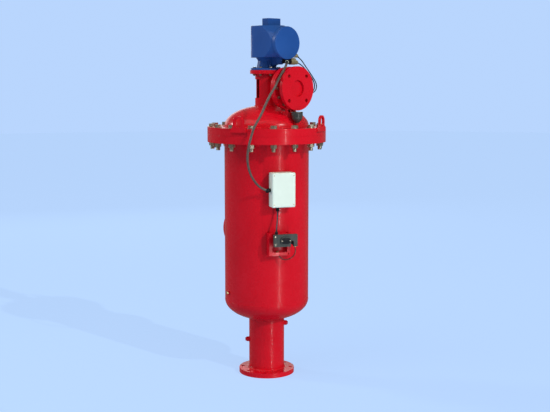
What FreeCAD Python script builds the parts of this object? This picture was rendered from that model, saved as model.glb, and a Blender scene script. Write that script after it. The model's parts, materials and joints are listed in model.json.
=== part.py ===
import FreeCAD, Part
import math
import os

from FreeCAD import Vector

# Electric suction scanner filter, in millimetres.
# The origin is the centre of the inlet flange face and +Z is the vessel axis.
# A bearing is measured about +Z from the -Y side, where the control box is, toward +X.
# A reach is a distance from the vessel axis, and a side is to the right as seen from outside.

# Process pipe and its two flanges
PIPE_RADIUS = 109.55
PIPE_WALL = 8.2
PIPE_FLANGE_RADIUS = 171.5
PIPE_FLANGE_THICKNESS = 28.6
PIPE_BOLT_CIRCLE_RADIUS = 149.25
PIPE_BOLT_HOLE_RADIUS = 11.1
PIPE_BOLT_COUNT = 8
WELD_LEG = 7.0
OUTLET_HEIGHT = 867.0
OUTLET_REACH = 380.0

# Threaded sockets for gauges and drains
SOCKET_RADIUS = 15.0
SOCKET_BORE_RADIUS = 8.0
SOCKET_LENGTH = 17.0
SOCKET_LOW_HEIGHT = 208.0
SOCKET_LOW_BEARING = -104.0
SOCKET_HIGH_HEIGHT = 316.0
SOCKET_HIGH_BEARING = 60.0
DRAIN_HEIGHT = 526.0
DRAIN_BEARING = -82.0
DRAIN_SOCKET_RADIUS = 12.0
DRAIN_SOCKET_LENGTH = 6.0
PLUG_HEX = 19.0
PLUG_HEAD = 7.0

# Vessel
VESSEL_RADIUS = 259.0
VESSEL_WALL = 8.0
HEAD_HEIGHT = 129.5
HEAD_SKIRT = 25.0
HEAD_TANGENT = 468.0

# Flanged joint between the body and the cover
JOINT_BOTTOM = 1447.0
JOINT_RADIUS = 362.0
JOINT_FLANGE_THICKNESS = 44.5
GASKET_THICKNESS = 2.5
GASKET_SETBACK = 0.5
COVER_BOLT_COUNT = 16
COVER_BOLT_EDGE = 29.5
COVER_BOLT_RADIUS = 12.0
COVER_BOLT_HOLE_RADIUS = 13.0
COVER_BOLT_HEX = 36.0
COVER_BOLT_HEAD = 15.0
COVER_BOLT_END = 21.0
COVER_NUT_HEIGHT = 21.5
COVER_WASHER_RADIUS = 22.0
COVER_WASHER_THICKNESS = 4.0

# Lifting lugs on the rim of the cover flange
LUG_BEARINGS = (-45.0, 45.0, 180.0)
LUG_THICKNESS = 13.0
LUG_SINK = 3.0
LUG_WIDTH = 70.0
LUG_FOOT_WIDTH = 108.0
LUG_DROP = 22.0
LUG_RISE = 74.0
LUG_EYE_WIDTH = 39.0
LUG_EYE_HEIGHT = 56.0
LUG_EYE_GAP = 6.0
LUG_SHOULDER_RISE = 10.0

# Fine screen and the parts that seat it
SEAT_TOP = 560.0
SEAT_THICKNESS = 12.0
SEAT_INNER_RADIUS = 188.0
SPIDER_ARM_WIDTH = 16.0
SPIDER_HUB_RADIUS = 32.0
SPIDER_HUB_HEIGHT = 32.0
MESH_RADIUS = 196.0
MESH_THICKNESS = 1.2
FRAME_THICKNESS = 5.0
FRAME_END_BAND = 26.0
FRAME_WINDOW_ROWS = 7
FRAME_WINDOW_COLUMNS = 8
FRAME_RIB = 18.0
SCREEN_GAP = 0.3
PARTITION_THICKNESS = 14.0

# Suction scanner: collector pipe, nozzles and drive shaft
COLLECTOR_RADIUS = 38.0
COLLECTOR_WALL = 5.0
COLLECTOR_BOTTOM = 566.0
COLLECTOR_TOP = 1546.0
COLLECTOR_CAP = 6.0
COLLECTOR_SLOT_BOTTOM = 1500.0
COLLECTOR_SLOT_HEIGHT = 34.0
COLLECTOR_SLOT_WIDTH = 30.0
NOZZLE_COUNT = 9
NOZZLE_FIRST_HEIGHT = 576.0
NOZZLE_ARM_RADIUS = 9.0
NOZZLE_BORE_RADIUS = 6.5
NOZZLE_GAP = 2.0
NOZZLE_MOUTH_LENGTH = 16.0
NOZZLE_MOUTH_WIDTH = 15.0
NOZZLE_MOUTH_HEIGHT = 24.0
STROKE = 98.0
SHAFT_RADIUS = 14.0
SHAFT_TOP = 1910.0
PIN_RADIUS = 15.0
RUNNING_CLEARANCE = 0.06
BUSH_WALL = 8.0
LIMIT_COLLAR_RADIUS = 26.0
LIMIT_COLLAR_THICKNESS = 12.0
LIMIT_COLLAR_HEIGHT = 1718.0
KEY_WIDTH = 8.0
KEY_RADIUS = 18.5
KEY_LENGTH = 22.0
KEY_CLEARANCE = 0.08

# Lantern between the cover and the drive
BOSS_RADIUS = 34.0
BOSS_BOTTOM = 1652.0
BOSS_TOP = 1690.0
SEAL_POCKET_RADIUS = 22.0
SEAL_POCKET_DEPTH = 16.0
LANTERN_RADIUS = 70.0
LANTERN_WALL = 6.0
LANTERN_PLATE_RADIUS = 101.0
LANTERN_PLATE_BOTTOM = 1857.0
LANTERN_PLATE_THICKNESS = 22.0
WINDOW_BOTTOM = 1712.0
WINDOW_TOP = 1824.0
WINDOW_FIRST_BEARING = -133.25
WINDOW_LAST_BEARING = -58.25
LANTERN_BOLT_CIRCLE_RADIUS = 80.0
LANTERN_BOLT_COUNT = 8
LANTERN_BOLT_RADIUS = 5.0
LANTERN_BOLT_HEX = 16.0
LANTERN_BOLT_HEAD = 6.4
LANTERN_NUT_HEIGHT = 8.0
LANTERN_BOLT_END = 4.0
DRIVE_NUT_RADIUS = 30.0
DRIVE_NUT_FLANGE_RADIUS = 44.0
DRIVE_NUT_FLANGE_THICKNESS = 13.0
DRIVE_NUT_BOTTOM = 1830.0
SENSOR_BEARING = -50.0
SENSOR_WIDTH = 12.0
SENSOR_DEPTH = 22.0
SENSOR_LOW = (1713.0, 1741.0)
SENSOR_HIGH = (1784.0, 1824.0)

# Electric drive
DRIVE_FLANGE_RADIUS = 96.0
DRIVE_FLANGE_THICKNESS = 13.0
NECK_FOOT_RADIUS = 62.0
NECK_WAIST_RADIUS = 53.7
NECK_WAIST_RISE = 42.0
NECK_HEAD_RADIUS = 66.0
DRIVE_BODY_RISE = 63.0
DRIVE_BODY_RADIUS = 95.5
DRIVE_BODY_WALL = 11.5
DRIVE_BODY_HEIGHT = 150.0
DRIVE_LID_HEIGHT = 38.0
DRIVE_LID_ROUND = 4.0
DRIVE_FLOOR = 8.0
DRIVE_HUB_RADIUS = 44.0
DRIVE_DECK_RISE = 53.0
DRIVE_LID_THICKNESS = 8.0
DRIVE_LID_SCREWS = 8
DRIVE_LID_SCREW_CIRCLE_RADIUS = 89.0
DRIVE_LID_BOSS_RADIUS = 9.0
DRIVE_LID_SCREW_RECESS = 6.0
DRIVE_LID_SCREW_HEX = 11.0
DRIVE_LID_SCREW_HEAD = 7.0
DRIVE_BEARING = 22.5
DRIVE_LID_BOSS_LENGTH = 18.0
DRIVE_BUSH_LENGTH = 20.0
MOTOR_BEARING_WALL = 10.0
BARREL_RISE = 83.5
BARREL_RADIUS = 93.0
BARREL_WALL = 10.0
BARREL_TAPER_REACH = 60.0
BARREL_TAPER_RADIUS = 141.0
BARREL_BACK_REACH = 158.0
BARREL_FRONT_REACH = 172.0
BARREL_COVER_RADIUS = 97.5
BARREL_COVER_THICKNESS = 20.0
LOBE_REACH = 125.0
LOBE_RADIUS = 21.0
LOBE_DROP = 43.0
LOBE_WEB_WIDTH = 24.0
LOBE_WEB_LIFT = 5.0
TOP_BLOCK_WIDTH = 98.0
TOP_BLOCK_DEPTH = 57.5
TOP_BLOCK_FRONT_REACH = 72.5
TOP_BLOCK_HEIGHT = 44.0
SLEEVE_RADIUS = 26.0
SLEEVE_RISE = 9.0
CARRIER_RADIUS = 60.0
CARRIER_THICKNESS = 8.0
CARRIER_GAP = 3.0

# Planetary gear set and motor
GEAR_MODULE = 1.9
SUN_TEETH = 18
PLANET_TEETH = 27
RING_TEETH = 72
PLANET_COUNT = 3
GEAR_HEIGHT = 14.0
GEAR_LIFT = 2.0
TOOTH_ADDENDUM = 0.85
TOOTH_DEDENDUM = 1.15
TOOTH_ROOT_SHARE = 0.50
TOOTH_TIP_SHARE = 0.20
PLANET_PIN_RADIUS = 5.0
END_SHIELD_THICKNESS = 8.0
MOTOR_SHAFT_RADIUS = 9.0
ROTOR_RADIUS = 45.0
ROTOR_GAP = 0.6
ROTOR_TOP_GAP = 7.0
STATOR_TOP_GAP = 4.0
MOTOR_CLEARANCE = 3.0

# Flush valve on the cover dome
VALVE_BEARING = 25.0
VALVE_RISE = 139.0
VALVE_FLANGE_RADIUS = 130.0
VALVE_FLANGE_THICKNESS = 22.0
VALVE_FACE_REACH = 270.5
VALVE_BOLT_CIRCLE_RADIUS = 101.0
VALVE_BOLT_HOLE_RADIUS = 11.0
VALVE_PORT_RADIUS = 49.0
VALVE_PORT_DEPTH = 15.0
VALVE_CHAMBER_RADIUS = 80.0
VALVE_CHAMBER_WALL = 12.0
VALVE_REAR_FLANGE_RADIUS = 128.0
VALVE_REAR_FLANGE_THICKNESS = 16.0
VALVE_REAR_FLANGE_FRONT_REACH = 202.0
DIAPHRAGM_THICKNESS = 3.0
DIAPHRAGM_RADIUS = 118.0
VALVE_COVER_RADIUS = 126.0
VALVE_COVER_THICKNESS = 17.0
VALVE_COVER_DISH_RADIUS = 84.0
VALVE_COVER_DISH_DEPTH = 46.0
VALVE_COVER_WALL = 8.0
VALVE_COVER_ROUND = 18.0
VALVE_STUD_COUNT = 12
VALVE_STUD_CIRCLE_RADIUS = 108.0
VALVE_STUD_RADIUS = 6.0
VALVE_STUD_HEX = 18.0
VALVE_STUD_HEAD = 7.5
VALVE_NUT_HEIGHT = 10.0
VALVE_STUD_END = 3.0
PLUG_DISC_RADIUS = 58.0
PLUG_DISC_THICKNESS = 12.0
PLUG_GAP = 0.3
PLUG_STEM_RADIUS = 10.0
PLUG_PLATE_RADIUS = 40.0
PLUG_PLATE_THICKNESS = 6.0
SPRING_COIL_RADIUS = 26.0
SPRING_WIRE_RADIUS = 3.0
SPRING_TURNS = 4
LEG_RADIUS = 44.45
LEG_WALL = 5.5
LEG_REACH = 190.0
LEG_TOP = 1632.0
SPOUT_HALF_WIDTH = 42.0
SPOUT_FRONT_REACH = 235.0
SPOUT_WALL = 5.0

# Control water strainer and pilot solenoid
STRAINER_REACH = 275.0
STRAINER_SIDE = -11.0
STRAINER_RADIUS = 33.5
STRAINER_DROP = 137.0
STRAINER_HEAD_HEIGHT = 22.0
STRAINER_HEIGHT = 65.0
STRAINER_TIP_RADIUS = 15.0
STRAINER_NIPPLE_RADIUS = 8.0
STRAINER_NIPPLE_DROP = 13.0
SOLENOID_DROP = 29.0
SOLENOID_BODY_DEPTH = 22.0
SOLENOID_BODY_HEIGHT = 24.0
SOLENOID_BODY_SINK = 12.0
SOLENOID_REACH = (221.0, 247.0)
SOLENOID_COIL_HEIGHT = 34.0
SOLENOID_COIL_SIDES = (98.0, 134.0)
SOLENOID_PLUG_LENGTH = 9.0

# Control box on the vessel
BOX_WIDTH = 145.0
BOX_HEIGHT = 206.0
BOX_BOTTOM = 1076.0
BOX_BACK_REACH = 264.0
BOX_BODY_DEPTH = 46.0
BOX_LID_DEPTH = 18.0
BOX_CORNER = 9.0
BOX_LID_ROUND = 8.0
BOX_WALL = 4.0
BOX_SCREW_INSET = 12.0
BOX_SCREW_END_INSET = 17.0
BOX_SCREW_RADIUS = 3.6
BOX_SCREW_HEAD = 1.6
RAIL_WIDTH = 18.0
RAIL_SIDE = 48.0
RAIL_HEIGHT = 40.0
RAIL_INSET = 20.0

# Differential pressure switch and its frame
SWITCH_LEFT = -68.0
SWITCH_RIGHT = 78.0
SWITCH_BOTTOM = 846.0
SWITCH_TOP = 919.0
SWITCH_BACK_REACH = 300.0
SWITCH_BODY_DEPTH = 30.0
SWITCH_COVER_DEPTH = 18.0
SWITCH_BODY_INSET = 12.0
SWITCH_NOTCH_SIDES = (37.0, 54.0)
SWITCH_NOTCH_TOP = 880.0
SWITCH_BOSS_SIDE = 3.0
SWITCH_BOSS_WIDTH = 66.0
SWITCH_BOSS_HEIGHT = 43.0
SWITCH_BOSS_DEPTH = 9.0
SWITCH_SCREW_INSET = 8.0
SWITCH_SCREW_RADIUS = 5.0
SWITCH_SCREW_DROP = 12.0
SWITCH_SCREW_RISE = 14.0
SWITCH_SCREW_HEAD = 3.0
SWITCH_BOSS_SCREW_SIDE = 24.5
SWITCH_BOSS_SCREW_RADIUS = 3.5
SWITCH_BOSS_SCREW_HEAD = 2.0
SWITCH_FRAME_LEFT = -84.0
SWITCH_FRAME_RIGHT = 49.0
SWITCH_FRAME_BOTTOM = 786.0
SWITCH_FRAME_TOP = 920.0
SWITCH_FRAME_THICKNESS = 6.0
SWITCH_FRAME_BORDER = 20.0
SWITCH_FRAME_HOLE_RADIUS = 4.5

# Glands and fittings; each cord's gland points along the first run of its route
TERMINAL_BLOCK_SIDES = (-2.0, 50.0)
TERMINAL_BLOCK_REACH = (140.0, 167.0)
TERMINAL_BLOCK_DROP = 36.0
POWER_GLAND_RADIUS = 10.0
POWER_GLAND_LENGTH = 24.0
BRASS_GLAND_RADIUS = 20.0
BRASS_GLAND_NOSE_RADIUS = 12.0
BRASS_GLAND_SIDES = (50.0, 88.0, 103.0)
BRASS_NOSE_LEAD = 6.5
BRASS_NOSE_DROP = 6.0
SMALL_GLAND_LENGTH = 65.0
SMALL_GLAND_RADIUS = 9.5
BOX_GLAND_RADIUS = 12.0
FITTING_RADIUS = 8.0
CORD_SEAT = 3.0

# Cords: radius and the points of each route, chosen by hand
POWER_CABLE_RADIUS = 7.0
POWER_CABLE_ROUTE = [
    (74, -162, 1927), (60, -195, 1914), (32, -233, 1882), (3, -252, 1847), (-30, -294, 1812),
    (-52, -313, 1780), (-81, -326, 1743), (-112, -330, 1687), (-140, -333, 1626),
    (-169, -336, 1580), (-191, -339, 1543), (-206, -341, 1498), (-218, -339, 1451),
    (-225, -335, 1408), (-226, -330, 1360), (-214, -321, 1304), (-192, -309, 1259),
    (-165, -298, 1224), (-134, -292, 1193), (-95, -290, 1177),
]
SOLENOID_CABLE_RADIUS = 3.25
SOLENOID_CABLE_1_ROUTE = [
    (156, -108, 1963), (184, -105, 1944), (209, -109, 1906), (236, -119, 1865),
    (255, -129, 1833), (268, -140, 1804), (270, -147, 1780), (263, -150, 1760),
    (249, -153, 1747), (232, -160, 1742),
]
SOLENOID_CABLE_2_ROUTE = [
    (156, -108, 1925), (183, -103, 1914), (209, -104, 1889), (234, -109, 1860),
    (252, -116, 1830), (263, -124, 1803), (263, -130, 1780), (257, -134, 1761),
    (244, -139, 1748), (226, -147, 1742),
]
SWITCH_CABLE_RADIUS = 4.0
SWITCH_CABLE_ROUTE = [
    (-27, -290, 1055), (-28, -291, 1034), (-34, -303, 1000), (-41, -316, 966),
    (-45, -323, 948), (-46, -324, 931),
]
IMPULSE_TUBE_RADIUS = 3.0
IMPULSE_TUBE_ROUTE = [
    (69, -326, 840), (73, -326, 821), (71, -323, 799), (59, -317, 778), (38, -310, 764),
    (10, -303, 759), (-10, -293, 770), (-19, -280, 787), (-20, -268, 800),
]

# Worked out from the sizes above
PIPE_BORE_RADIUS = PIPE_RADIUS - PIPE_WALL
SHELL_BORE_RADIUS = VESSEL_RADIUS - VESSEL_WALL
BODY_FLANGE_TOP = JOINT_BOTTOM + JOINT_FLANGE_THICKNESS
COVER_FLANGE_BOTTOM = BODY_FLANGE_TOP + GASKET_THICKNESS
COVER_BOLT_CIRCLE_RADIUS = JOINT_RADIUS - COVER_BOLT_EDGE
COVER_FLANGE_TOP = COVER_FLANGE_BOTTOM + JOINT_FLANGE_THICKNESS
DOME_TANGENT = COVER_FLANGE_TOP
PARTITION_BOTTOM = BODY_FLANGE_TOP - PARTITION_THICKNESS
FRAME_INNER_RADIUS = MESH_RADIUS + MESH_THICKNESS
FRAME_OUTER_RADIUS = FRAME_INNER_RADIUS + FRAME_THICKNESS
SCREEN_TOP = PARTITION_BOTTOM - SCREEN_GAP
HUB_BOTTOM = COLLECTOR_BOTTOM - 4.0 - SPIDER_HUB_HEIGHT
LANTERN_PLATE_TOP = LANTERN_PLATE_BOTTOM + LANTERN_PLATE_THICKNESS
DRIVE_FLANGE_TOP = LANTERN_PLATE_TOP + DRIVE_FLANGE_THICKNESS
NECK_WAIST_HEIGHT = DRIVE_FLANGE_TOP + NECK_WAIST_RISE
DRIVE_BODY_BOTTOM = DRIVE_FLANGE_TOP + DRIVE_BODY_RISE
DRIVE_DECK_TOP = DRIVE_BODY_BOTTOM + DRIVE_DECK_RISE
DRIVE_SEAM = DRIVE_BODY_BOTTOM + DRIVE_BODY_HEIGHT
DRIVE_TOP = DRIVE_SEAM + DRIVE_LID_HEIGHT
BARREL_HEIGHT = DRIVE_BODY_BOTTOM + BARREL_RISE
LOBE_BOTTOM = DRIVE_BODY_BOTTOM - LOBE_DROP
TERMINAL_BLOCK_BOTTOM = DRIVE_BODY_BOTTOM - TERMINAL_BLOCK_DROP
SLEEVE_BOTTOM = LANTERN_PLATE_TOP + SLEEVE_RISE
DRIVE_BORE_RADIUS = DRIVE_BODY_RADIUS - DRIVE_BODY_WALL
BUSH_RADIUS = SLEEVE_RADIUS + BUSH_WALL
CARRIER_BOTTOM = DRIVE_DECK_TOP + CARRIER_GAP
CARRIER_TOP = CARRIER_BOTTOM + CARRIER_THICKNESS
GEAR_BOTTOM = CARRIER_TOP + GEAR_LIFT
GEAR_TOP = GEAR_BOTTOM + GEAR_HEIGHT
PLANET_ORBIT_RADIUS = GEAR_MODULE * (SUN_TEETH + PLANET_TEETH) / 2
STATOR_BOTTOM = GEAR_TOP + 2.0
STATOR_TOP = DRIVE_SEAM - STATOR_TOP_GAP
VALVE_HEIGHT = LEG_TOP + VALVE_RISE
SOLENOID_HEIGHT = VALVE_HEIGHT - SOLENOID_DROP
STRAINER_TOP = VALVE_HEIGHT - STRAINER_DROP
STRAINER_BOTTOM = STRAINER_TOP - STRAINER_HEIGHT
STRAINER_NIPPLE_HEIGHT = STRAINER_TOP - STRAINER_NIPPLE_DROP
VALVE_FRONT_FLANGE_BACK = VALVE_FACE_REACH - VALVE_FLANGE_THICKNESS
PORT_SEAT_REACH = VALVE_FACE_REACH - VALVE_PORT_DEPTH
REAR_FLANGE_BACK_REACH = VALVE_REAR_FLANGE_FRONT_REACH - VALVE_REAR_FLANGE_THICKNESS
VALVE_COVER_FRONT_REACH = REAR_FLANGE_BACK_REACH - DIAPHRAGM_THICKNESS
VALVE_COVER_BACK_REACH = VALVE_COVER_FRONT_REACH - VALVE_COVER_THICKNESS
PLUG_PLATE_REACH = REAR_FLANGE_BACK_REACH + 1.0
BOX_LID_REACH = BOX_BACK_REACH + BOX_BODY_DEPTH
BOX_FRONT_REACH = BOX_LID_REACH + BOX_LID_DEPTH
SWITCH_FRONT_REACH = SWITCH_BACK_REACH + SWITCH_BODY_DEPTH + SWITCH_COVER_DEPTH


def place(reach, bearing, height):
    angle = math.radians(bearing)
    return Vector(reach * math.sin(angle), -reach * math.cos(angle), height)


def rod(radius, bottom, top, x=0.0, y=0.0):
    return Part.makeCylinder(radius, top - bottom, Vector(x, y, bottom))


def ring(outer, inner, bottom, top):
    return rod(outer, bottom, top).cut(rod(inner, bottom - 1, top + 1))


def turned(shape, bearing):
    copy = shape.copy()
    copy.rotate(Vector(0, 0, 0), Vector(0, 0, 1), bearing)
    return copy


def around(shape, count, first=0.0):
    return [turned(shape, first + 360.0 * index / count) for index in range(count)]


def forward_rod(radius, back, front, side=0.0, height=0.0):
    """A rod along -Y from one reach to another, before it is turned to its bearing."""
    return Part.makeCylinder(radius, front - back, Vector(side, -back, height), Vector(0, -1, 0))


def forward_ring(outer, inner, back, front, height):
    bore = forward_rod(inner, back - 1, front + 1, 0, height)
    return forward_rod(outer, back, front, 0, height).cut(bore)


def block(sides, reaches, heights):
    """A box from its two sides, its two reaches along -Y and its two heights."""
    size = (sides[1] - sides[0], reaches[1] - reaches[0], heights[1] - heights[0])
    return Part.makeBox(*size, Vector(sides[0], -reaches[1], heights[0]))


def revolved(points):
    """A solid turned about Z from a closed outline of radius and height pairs."""
    outline = Part.makePolygon([Vector(r, 0, z) for r, z in points + points[:1]])
    return Part.Face(outline).revolve(Vector(0, 0, 0), Vector(0, 0, 1), 360)


def hexagon(across, bottom, top, x=0.0, y=0.0):
    corner = across / math.sqrt(3)
    angles = [math.radians(30 + 60 * index) for index in range(7)]
    corners = [Vector(x + corner * math.cos(a), y + corner * math.sin(a), bottom) for a in angles]
    return Part.Face(Part.makePolygon(corners)).extrude(Vector(0, 0, top - bottom))


def forward_hexagon(across, back, front, side, height):
    prism = hexagon(across, back, front)
    prism.rotate(Vector(0, 0, 0), Vector(1, 0, 0), 90)
    prism.translate(Vector(side, 0, height))
    return prism


def fused(shapes):
    return shapes[0].fuse(shapes[1:]).removeSplitter()


def group(shapes):
    solids = []
    for shape in shapes:
        solids += shape.Solids
    return Part.makeCompound(solids)


def dished_head(tangent, way, skirt):
    """Semi-ellipsoidal head of even wall; way is +1 for a cover and -1 for a bottom."""
    centre = Vector(0, 0, tangent)
    outer = Part.Ellipse(
        Vector(VESSEL_RADIUS, 0, tangent), Vector(0, 0, tangent + way * HEAD_HEIGHT), centre
    )
    inner_height = HEAD_HEIGHT - VESSEL_WALL
    inner = Part.Ellipse(
        Vector(SHELL_BORE_RADIUS, 0, tangent), Vector(0, 0, tangent + way * inner_height), centre
    )
    quarter = math.pi / 2
    skirt_end = tangent - way * skirt
    corners = [
        Vector(0, 0, tangent + way * HEAD_HEIGHT),
        Vector(0, 0, tangent + way * inner_height),
        Vector(SHELL_BORE_RADIUS, 0, tangent),
        Vector(SHELL_BORE_RADIUS, 0, skirt_end),
        Vector(VESSEL_RADIUS, 0, skirt_end),
        Vector(VESSEL_RADIUS, 0, tangent),
    ]
    edges = [
        Part.ArcOfEllipse(outer, 0, quarter).toShape(),
        Part.LineSegment(corners[0], corners[1]).toShape(),
        Part.ArcOfEllipse(inner, 0, quarter).toShape(),
        Part.LineSegment(corners[2], corners[3]).toShape(),
        Part.LineSegment(corners[3], corners[4]).toShape(),
        Part.LineSegment(corners[4], corners[5]).toShape(),
    ]
    outline = Part.Wire(Part.__sortEdges__(edges))
    return Part.Face(outline).revolve(Vector(0, 0, 0), Vector(0, 0, 1), 360)


def dome_filling():
    """The space inside the outer surface of the cover dome."""
    ball = Part.makeSphere(1.0)
    stretch = FreeCAD.Matrix()
    stretch.scale(VESSEL_RADIUS, VESSEL_RADIUS, HEAD_HEIGHT)
    filling = ball.transformGeometry(stretch)
    filling.translate(Vector(0, 0, DOME_TANGENT))
    return filling


def pipe_flange():
    """Slip-on flange with its face at height 0, bored for the pipe."""
    flange = ring(PIPE_FLANGE_RADIUS, PIPE_RADIUS, 0, PIPE_FLANGE_THICKNESS)
    first = 180.0 / PIPE_BOLT_COUNT
    hole = rod(PIPE_BOLT_HOLE_RADIUS, -1, PIPE_FLANGE_THICKNESS + 1, 0, -PIPE_BOLT_CIRCLE_RADIUS)
    return flange.cut(Part.makeCompound(around(hole, PIPE_BOLT_COUNT, first)))


def socket(radius, height, bearing, wall_radius, length):
    """Round welded socket that stands radially on a wall."""
    barrel = forward_rod(radius, wall_radius - 6, wall_radius + length, 0, height)
    barrel = barrel.cut(rod(wall_radius, height - 60, height + 60))
    return turned(barrel, bearing)


def socket_bore(height, bearing, wall_radius, length):
    bore = forward_rod(SOCKET_BORE_RADIUS, wall_radius - 12, wall_radius + length + 1, 0, height)
    return turned(bore, bearing)


def socket_plug(height, bearing, wall_radius, length):
    """Hexagon plug screwed into a socket, with a solid shank."""
    face = wall_radius + length
    shank = forward_rod(SOCKET_BORE_RADIUS, face - 12, face, 0, height)
    head = forward_hexagon(PLUG_HEX, face, face + PLUG_HEAD, 0, height)
    return turned(fused([head, shank]), bearing)


def inlet_flange():
    return pipe_flange()


def inlet_pipe():
    inside = math.sqrt(1 - (PIPE_RADIUS / SHELL_BORE_RADIUS) ** 2)
    top = HEAD_TANGENT - (HEAD_HEIGHT - VESSEL_WALL) * inside + 4
    pipe = rod(PIPE_RADIUS, 0, top)
    weld = revolved(
        [
            (PIPE_RADIUS - 1, PIPE_FLANGE_THICKNESS),
            (PIPE_RADIUS + WELD_LEG, PIPE_FLANGE_THICKNESS),
            (PIPE_RADIUS, PIPE_FLANGE_THICKNESS + WELD_LEG),
            (PIPE_RADIUS - 1, PIPE_FLANGE_THICKNESS + WELD_LEG),
        ]
    )
    low = socket(SOCKET_RADIUS, SOCKET_LOW_HEIGHT, SOCKET_LOW_BEARING, PIPE_RADIUS, SOCKET_LENGTH)
    high = socket(
        SOCKET_RADIUS, SOCKET_HIGH_HEIGHT, SOCKET_HIGH_BEARING, PIPE_RADIUS, SOCKET_LENGTH
    )
    whole = fused([pipe, weld, low, high])
    whole = whole.cut(rod(PIPE_BORE_RADIUS, -1, top + 1))
    whole = whole.cut(socket_bore(SOCKET_LOW_HEIGHT, SOCKET_LOW_BEARING, PIPE_RADIUS, SOCKET_LENGTH))
    return whole.cut(
        socket_bore(SOCKET_HIGH_HEIGHT, SOCKET_HIGH_BEARING, PIPE_RADIUS, SOCKET_LENGTH)
    )


def bottom_head():
    head = dished_head(HEAD_TANGENT, -1, HEAD_SKIRT)
    return head.cut(rod(PIPE_RADIUS, 0, HEAD_TANGENT))


def outlet_bore(radius):
    bore = rod(radius, 0, OUTLET_REACH + 10)
    bore.rotate(Vector(0, 0, 0), Vector(1, 0, 0), -90)
    bore.translate(Vector(0, 0, OUTLET_HEIGHT))
    return bore


def body_shell():
    bottom = HEAD_TANGENT + HEAD_SKIRT
    shell = rod(VESSEL_RADIUS, bottom, PARTITION_BOTTOM)
    drain = socket(
        DRAIN_SOCKET_RADIUS, DRAIN_HEIGHT, DRAIN_BEARING, VESSEL_RADIUS, DRAIN_SOCKET_LENGTH
    )
    shell = fused([shell, drain])
    shell = shell.cut(rod(SHELL_BORE_RADIUS, bottom - 1, PARTITION_BOTTOM + 1))
    shell = shell.cut(outlet_bore(PIPE_RADIUS))
    return shell.cut(
        socket_bore(DRAIN_HEIGHT, DRAIN_BEARING, VESSEL_RADIUS, DRAIN_SOCKET_LENGTH)
    )


def outlet_pipe():
    pipe = outlet_bore(PIPE_RADIUS).cut(outlet_bore(PIPE_BORE_RADIUS))
    spread = 2 * PIPE_RADIUS
    heights = (OUTLET_HEIGHT - spread, OUTLET_HEIGHT + spread)
    beyond = block((-spread, spread), (-2 * OUTLET_REACH, -OUTLET_REACH), heights)
    inside = rod(SHELL_BORE_RADIUS, *heights)
    return pipe.cut(beyond).cut(inside)


def outlet_flange():
    flange = pipe_flange()
    flange.rotate(Vector(0, 0, 0), Vector(1, 0, 0), 90)
    flange.translate(Vector(0, OUTLET_REACH, OUTLET_HEIGHT))
    return flange


def socket_plugs():
    plugs = [
        socket_plug(SOCKET_LOW_HEIGHT, SOCKET_LOW_BEARING, PIPE_RADIUS, SOCKET_LENGTH),
        socket_plug(SOCKET_HIGH_HEIGHT, SOCKET_HIGH_BEARING, PIPE_RADIUS, SOCKET_LENGTH),
        socket_plug(DRAIN_HEIGHT, DRAIN_BEARING, VESSEL_RADIUS, DRAIN_SOCKET_LENGTH),
    ]
    return group(plugs)


def joint_holes(bottom, top):
    hole = rod(COVER_BOLT_HOLE_RADIUS, bottom - 1, top + 1, 0, -COVER_BOLT_CIRCLE_RADIUS)
    first = 180.0 / COVER_BOLT_COUNT
    return Part.makeCompound(around(hole, COVER_BOLT_COUNT, first))


def joint_flange(bottom, top):
    flange = ring(JOINT_RADIUS, VESSEL_RADIUS, bottom, top)
    return flange.cut(joint_holes(bottom, top))


def body_flange():
    return joint_flange(JOINT_BOTTOM, BODY_FLANGE_TOP)


def cover_flange():
    return joint_flange(COVER_FLANGE_BOTTOM, COVER_FLANGE_TOP)


def cover_gasket():
    gasket = ring(
        JOINT_RADIUS - GASKET_SETBACK, SHELL_BORE_RADIUS, BODY_FLANGE_TOP, COVER_FLANGE_BOTTOM
    )
    return gasket.cut(joint_holes(BODY_FLANGE_TOP, COVER_FLANGE_BOTTOM))


def cover_bolts():
    """Hexagon bolts through both flanges, each with a washer under its head."""
    y = -COVER_BOLT_CIRCLE_RADIUS
    seat = COVER_FLANGE_TOP + COVER_WASHER_THICKNESS
    end = JOINT_BOTTOM - COVER_NUT_HEIGHT - COVER_BOLT_END
    head = hexagon(COVER_BOLT_HEX, seat, seat + COVER_BOLT_HEAD, 0, y)
    shank = rod(COVER_BOLT_RADIUS, end, seat, 0, y)
    bolt = fused([head, shank])
    washer = rod(COVER_WASHER_RADIUS, COVER_FLANGE_TOP, seat, 0, y)
    washer = washer.cut(rod(COVER_BOLT_HOLE_RADIUS, COVER_FLANGE_TOP - 1, seat + 1, 0, y))
    first = 180.0 / COVER_BOLT_COUNT
    return group(
        around(bolt, COVER_BOLT_COUNT, first) + around(washer, COVER_BOLT_COUNT, first)
    )


def cover_nuts():
    y = -COVER_BOLT_CIRCLE_RADIUS
    bottom = JOINT_BOTTOM - COVER_NUT_HEIGHT
    nut = hexagon(COVER_BOLT_HEX, bottom, JOINT_BOTTOM, 0, y)
    nut = nut.cut(rod(COVER_BOLT_RADIUS, bottom - 1, JOINT_BOTTOM + 1, 0, y))
    return group(around(nut, COVER_BOLT_COUNT, 180.0 / COVER_BOLT_COUNT))


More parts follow.
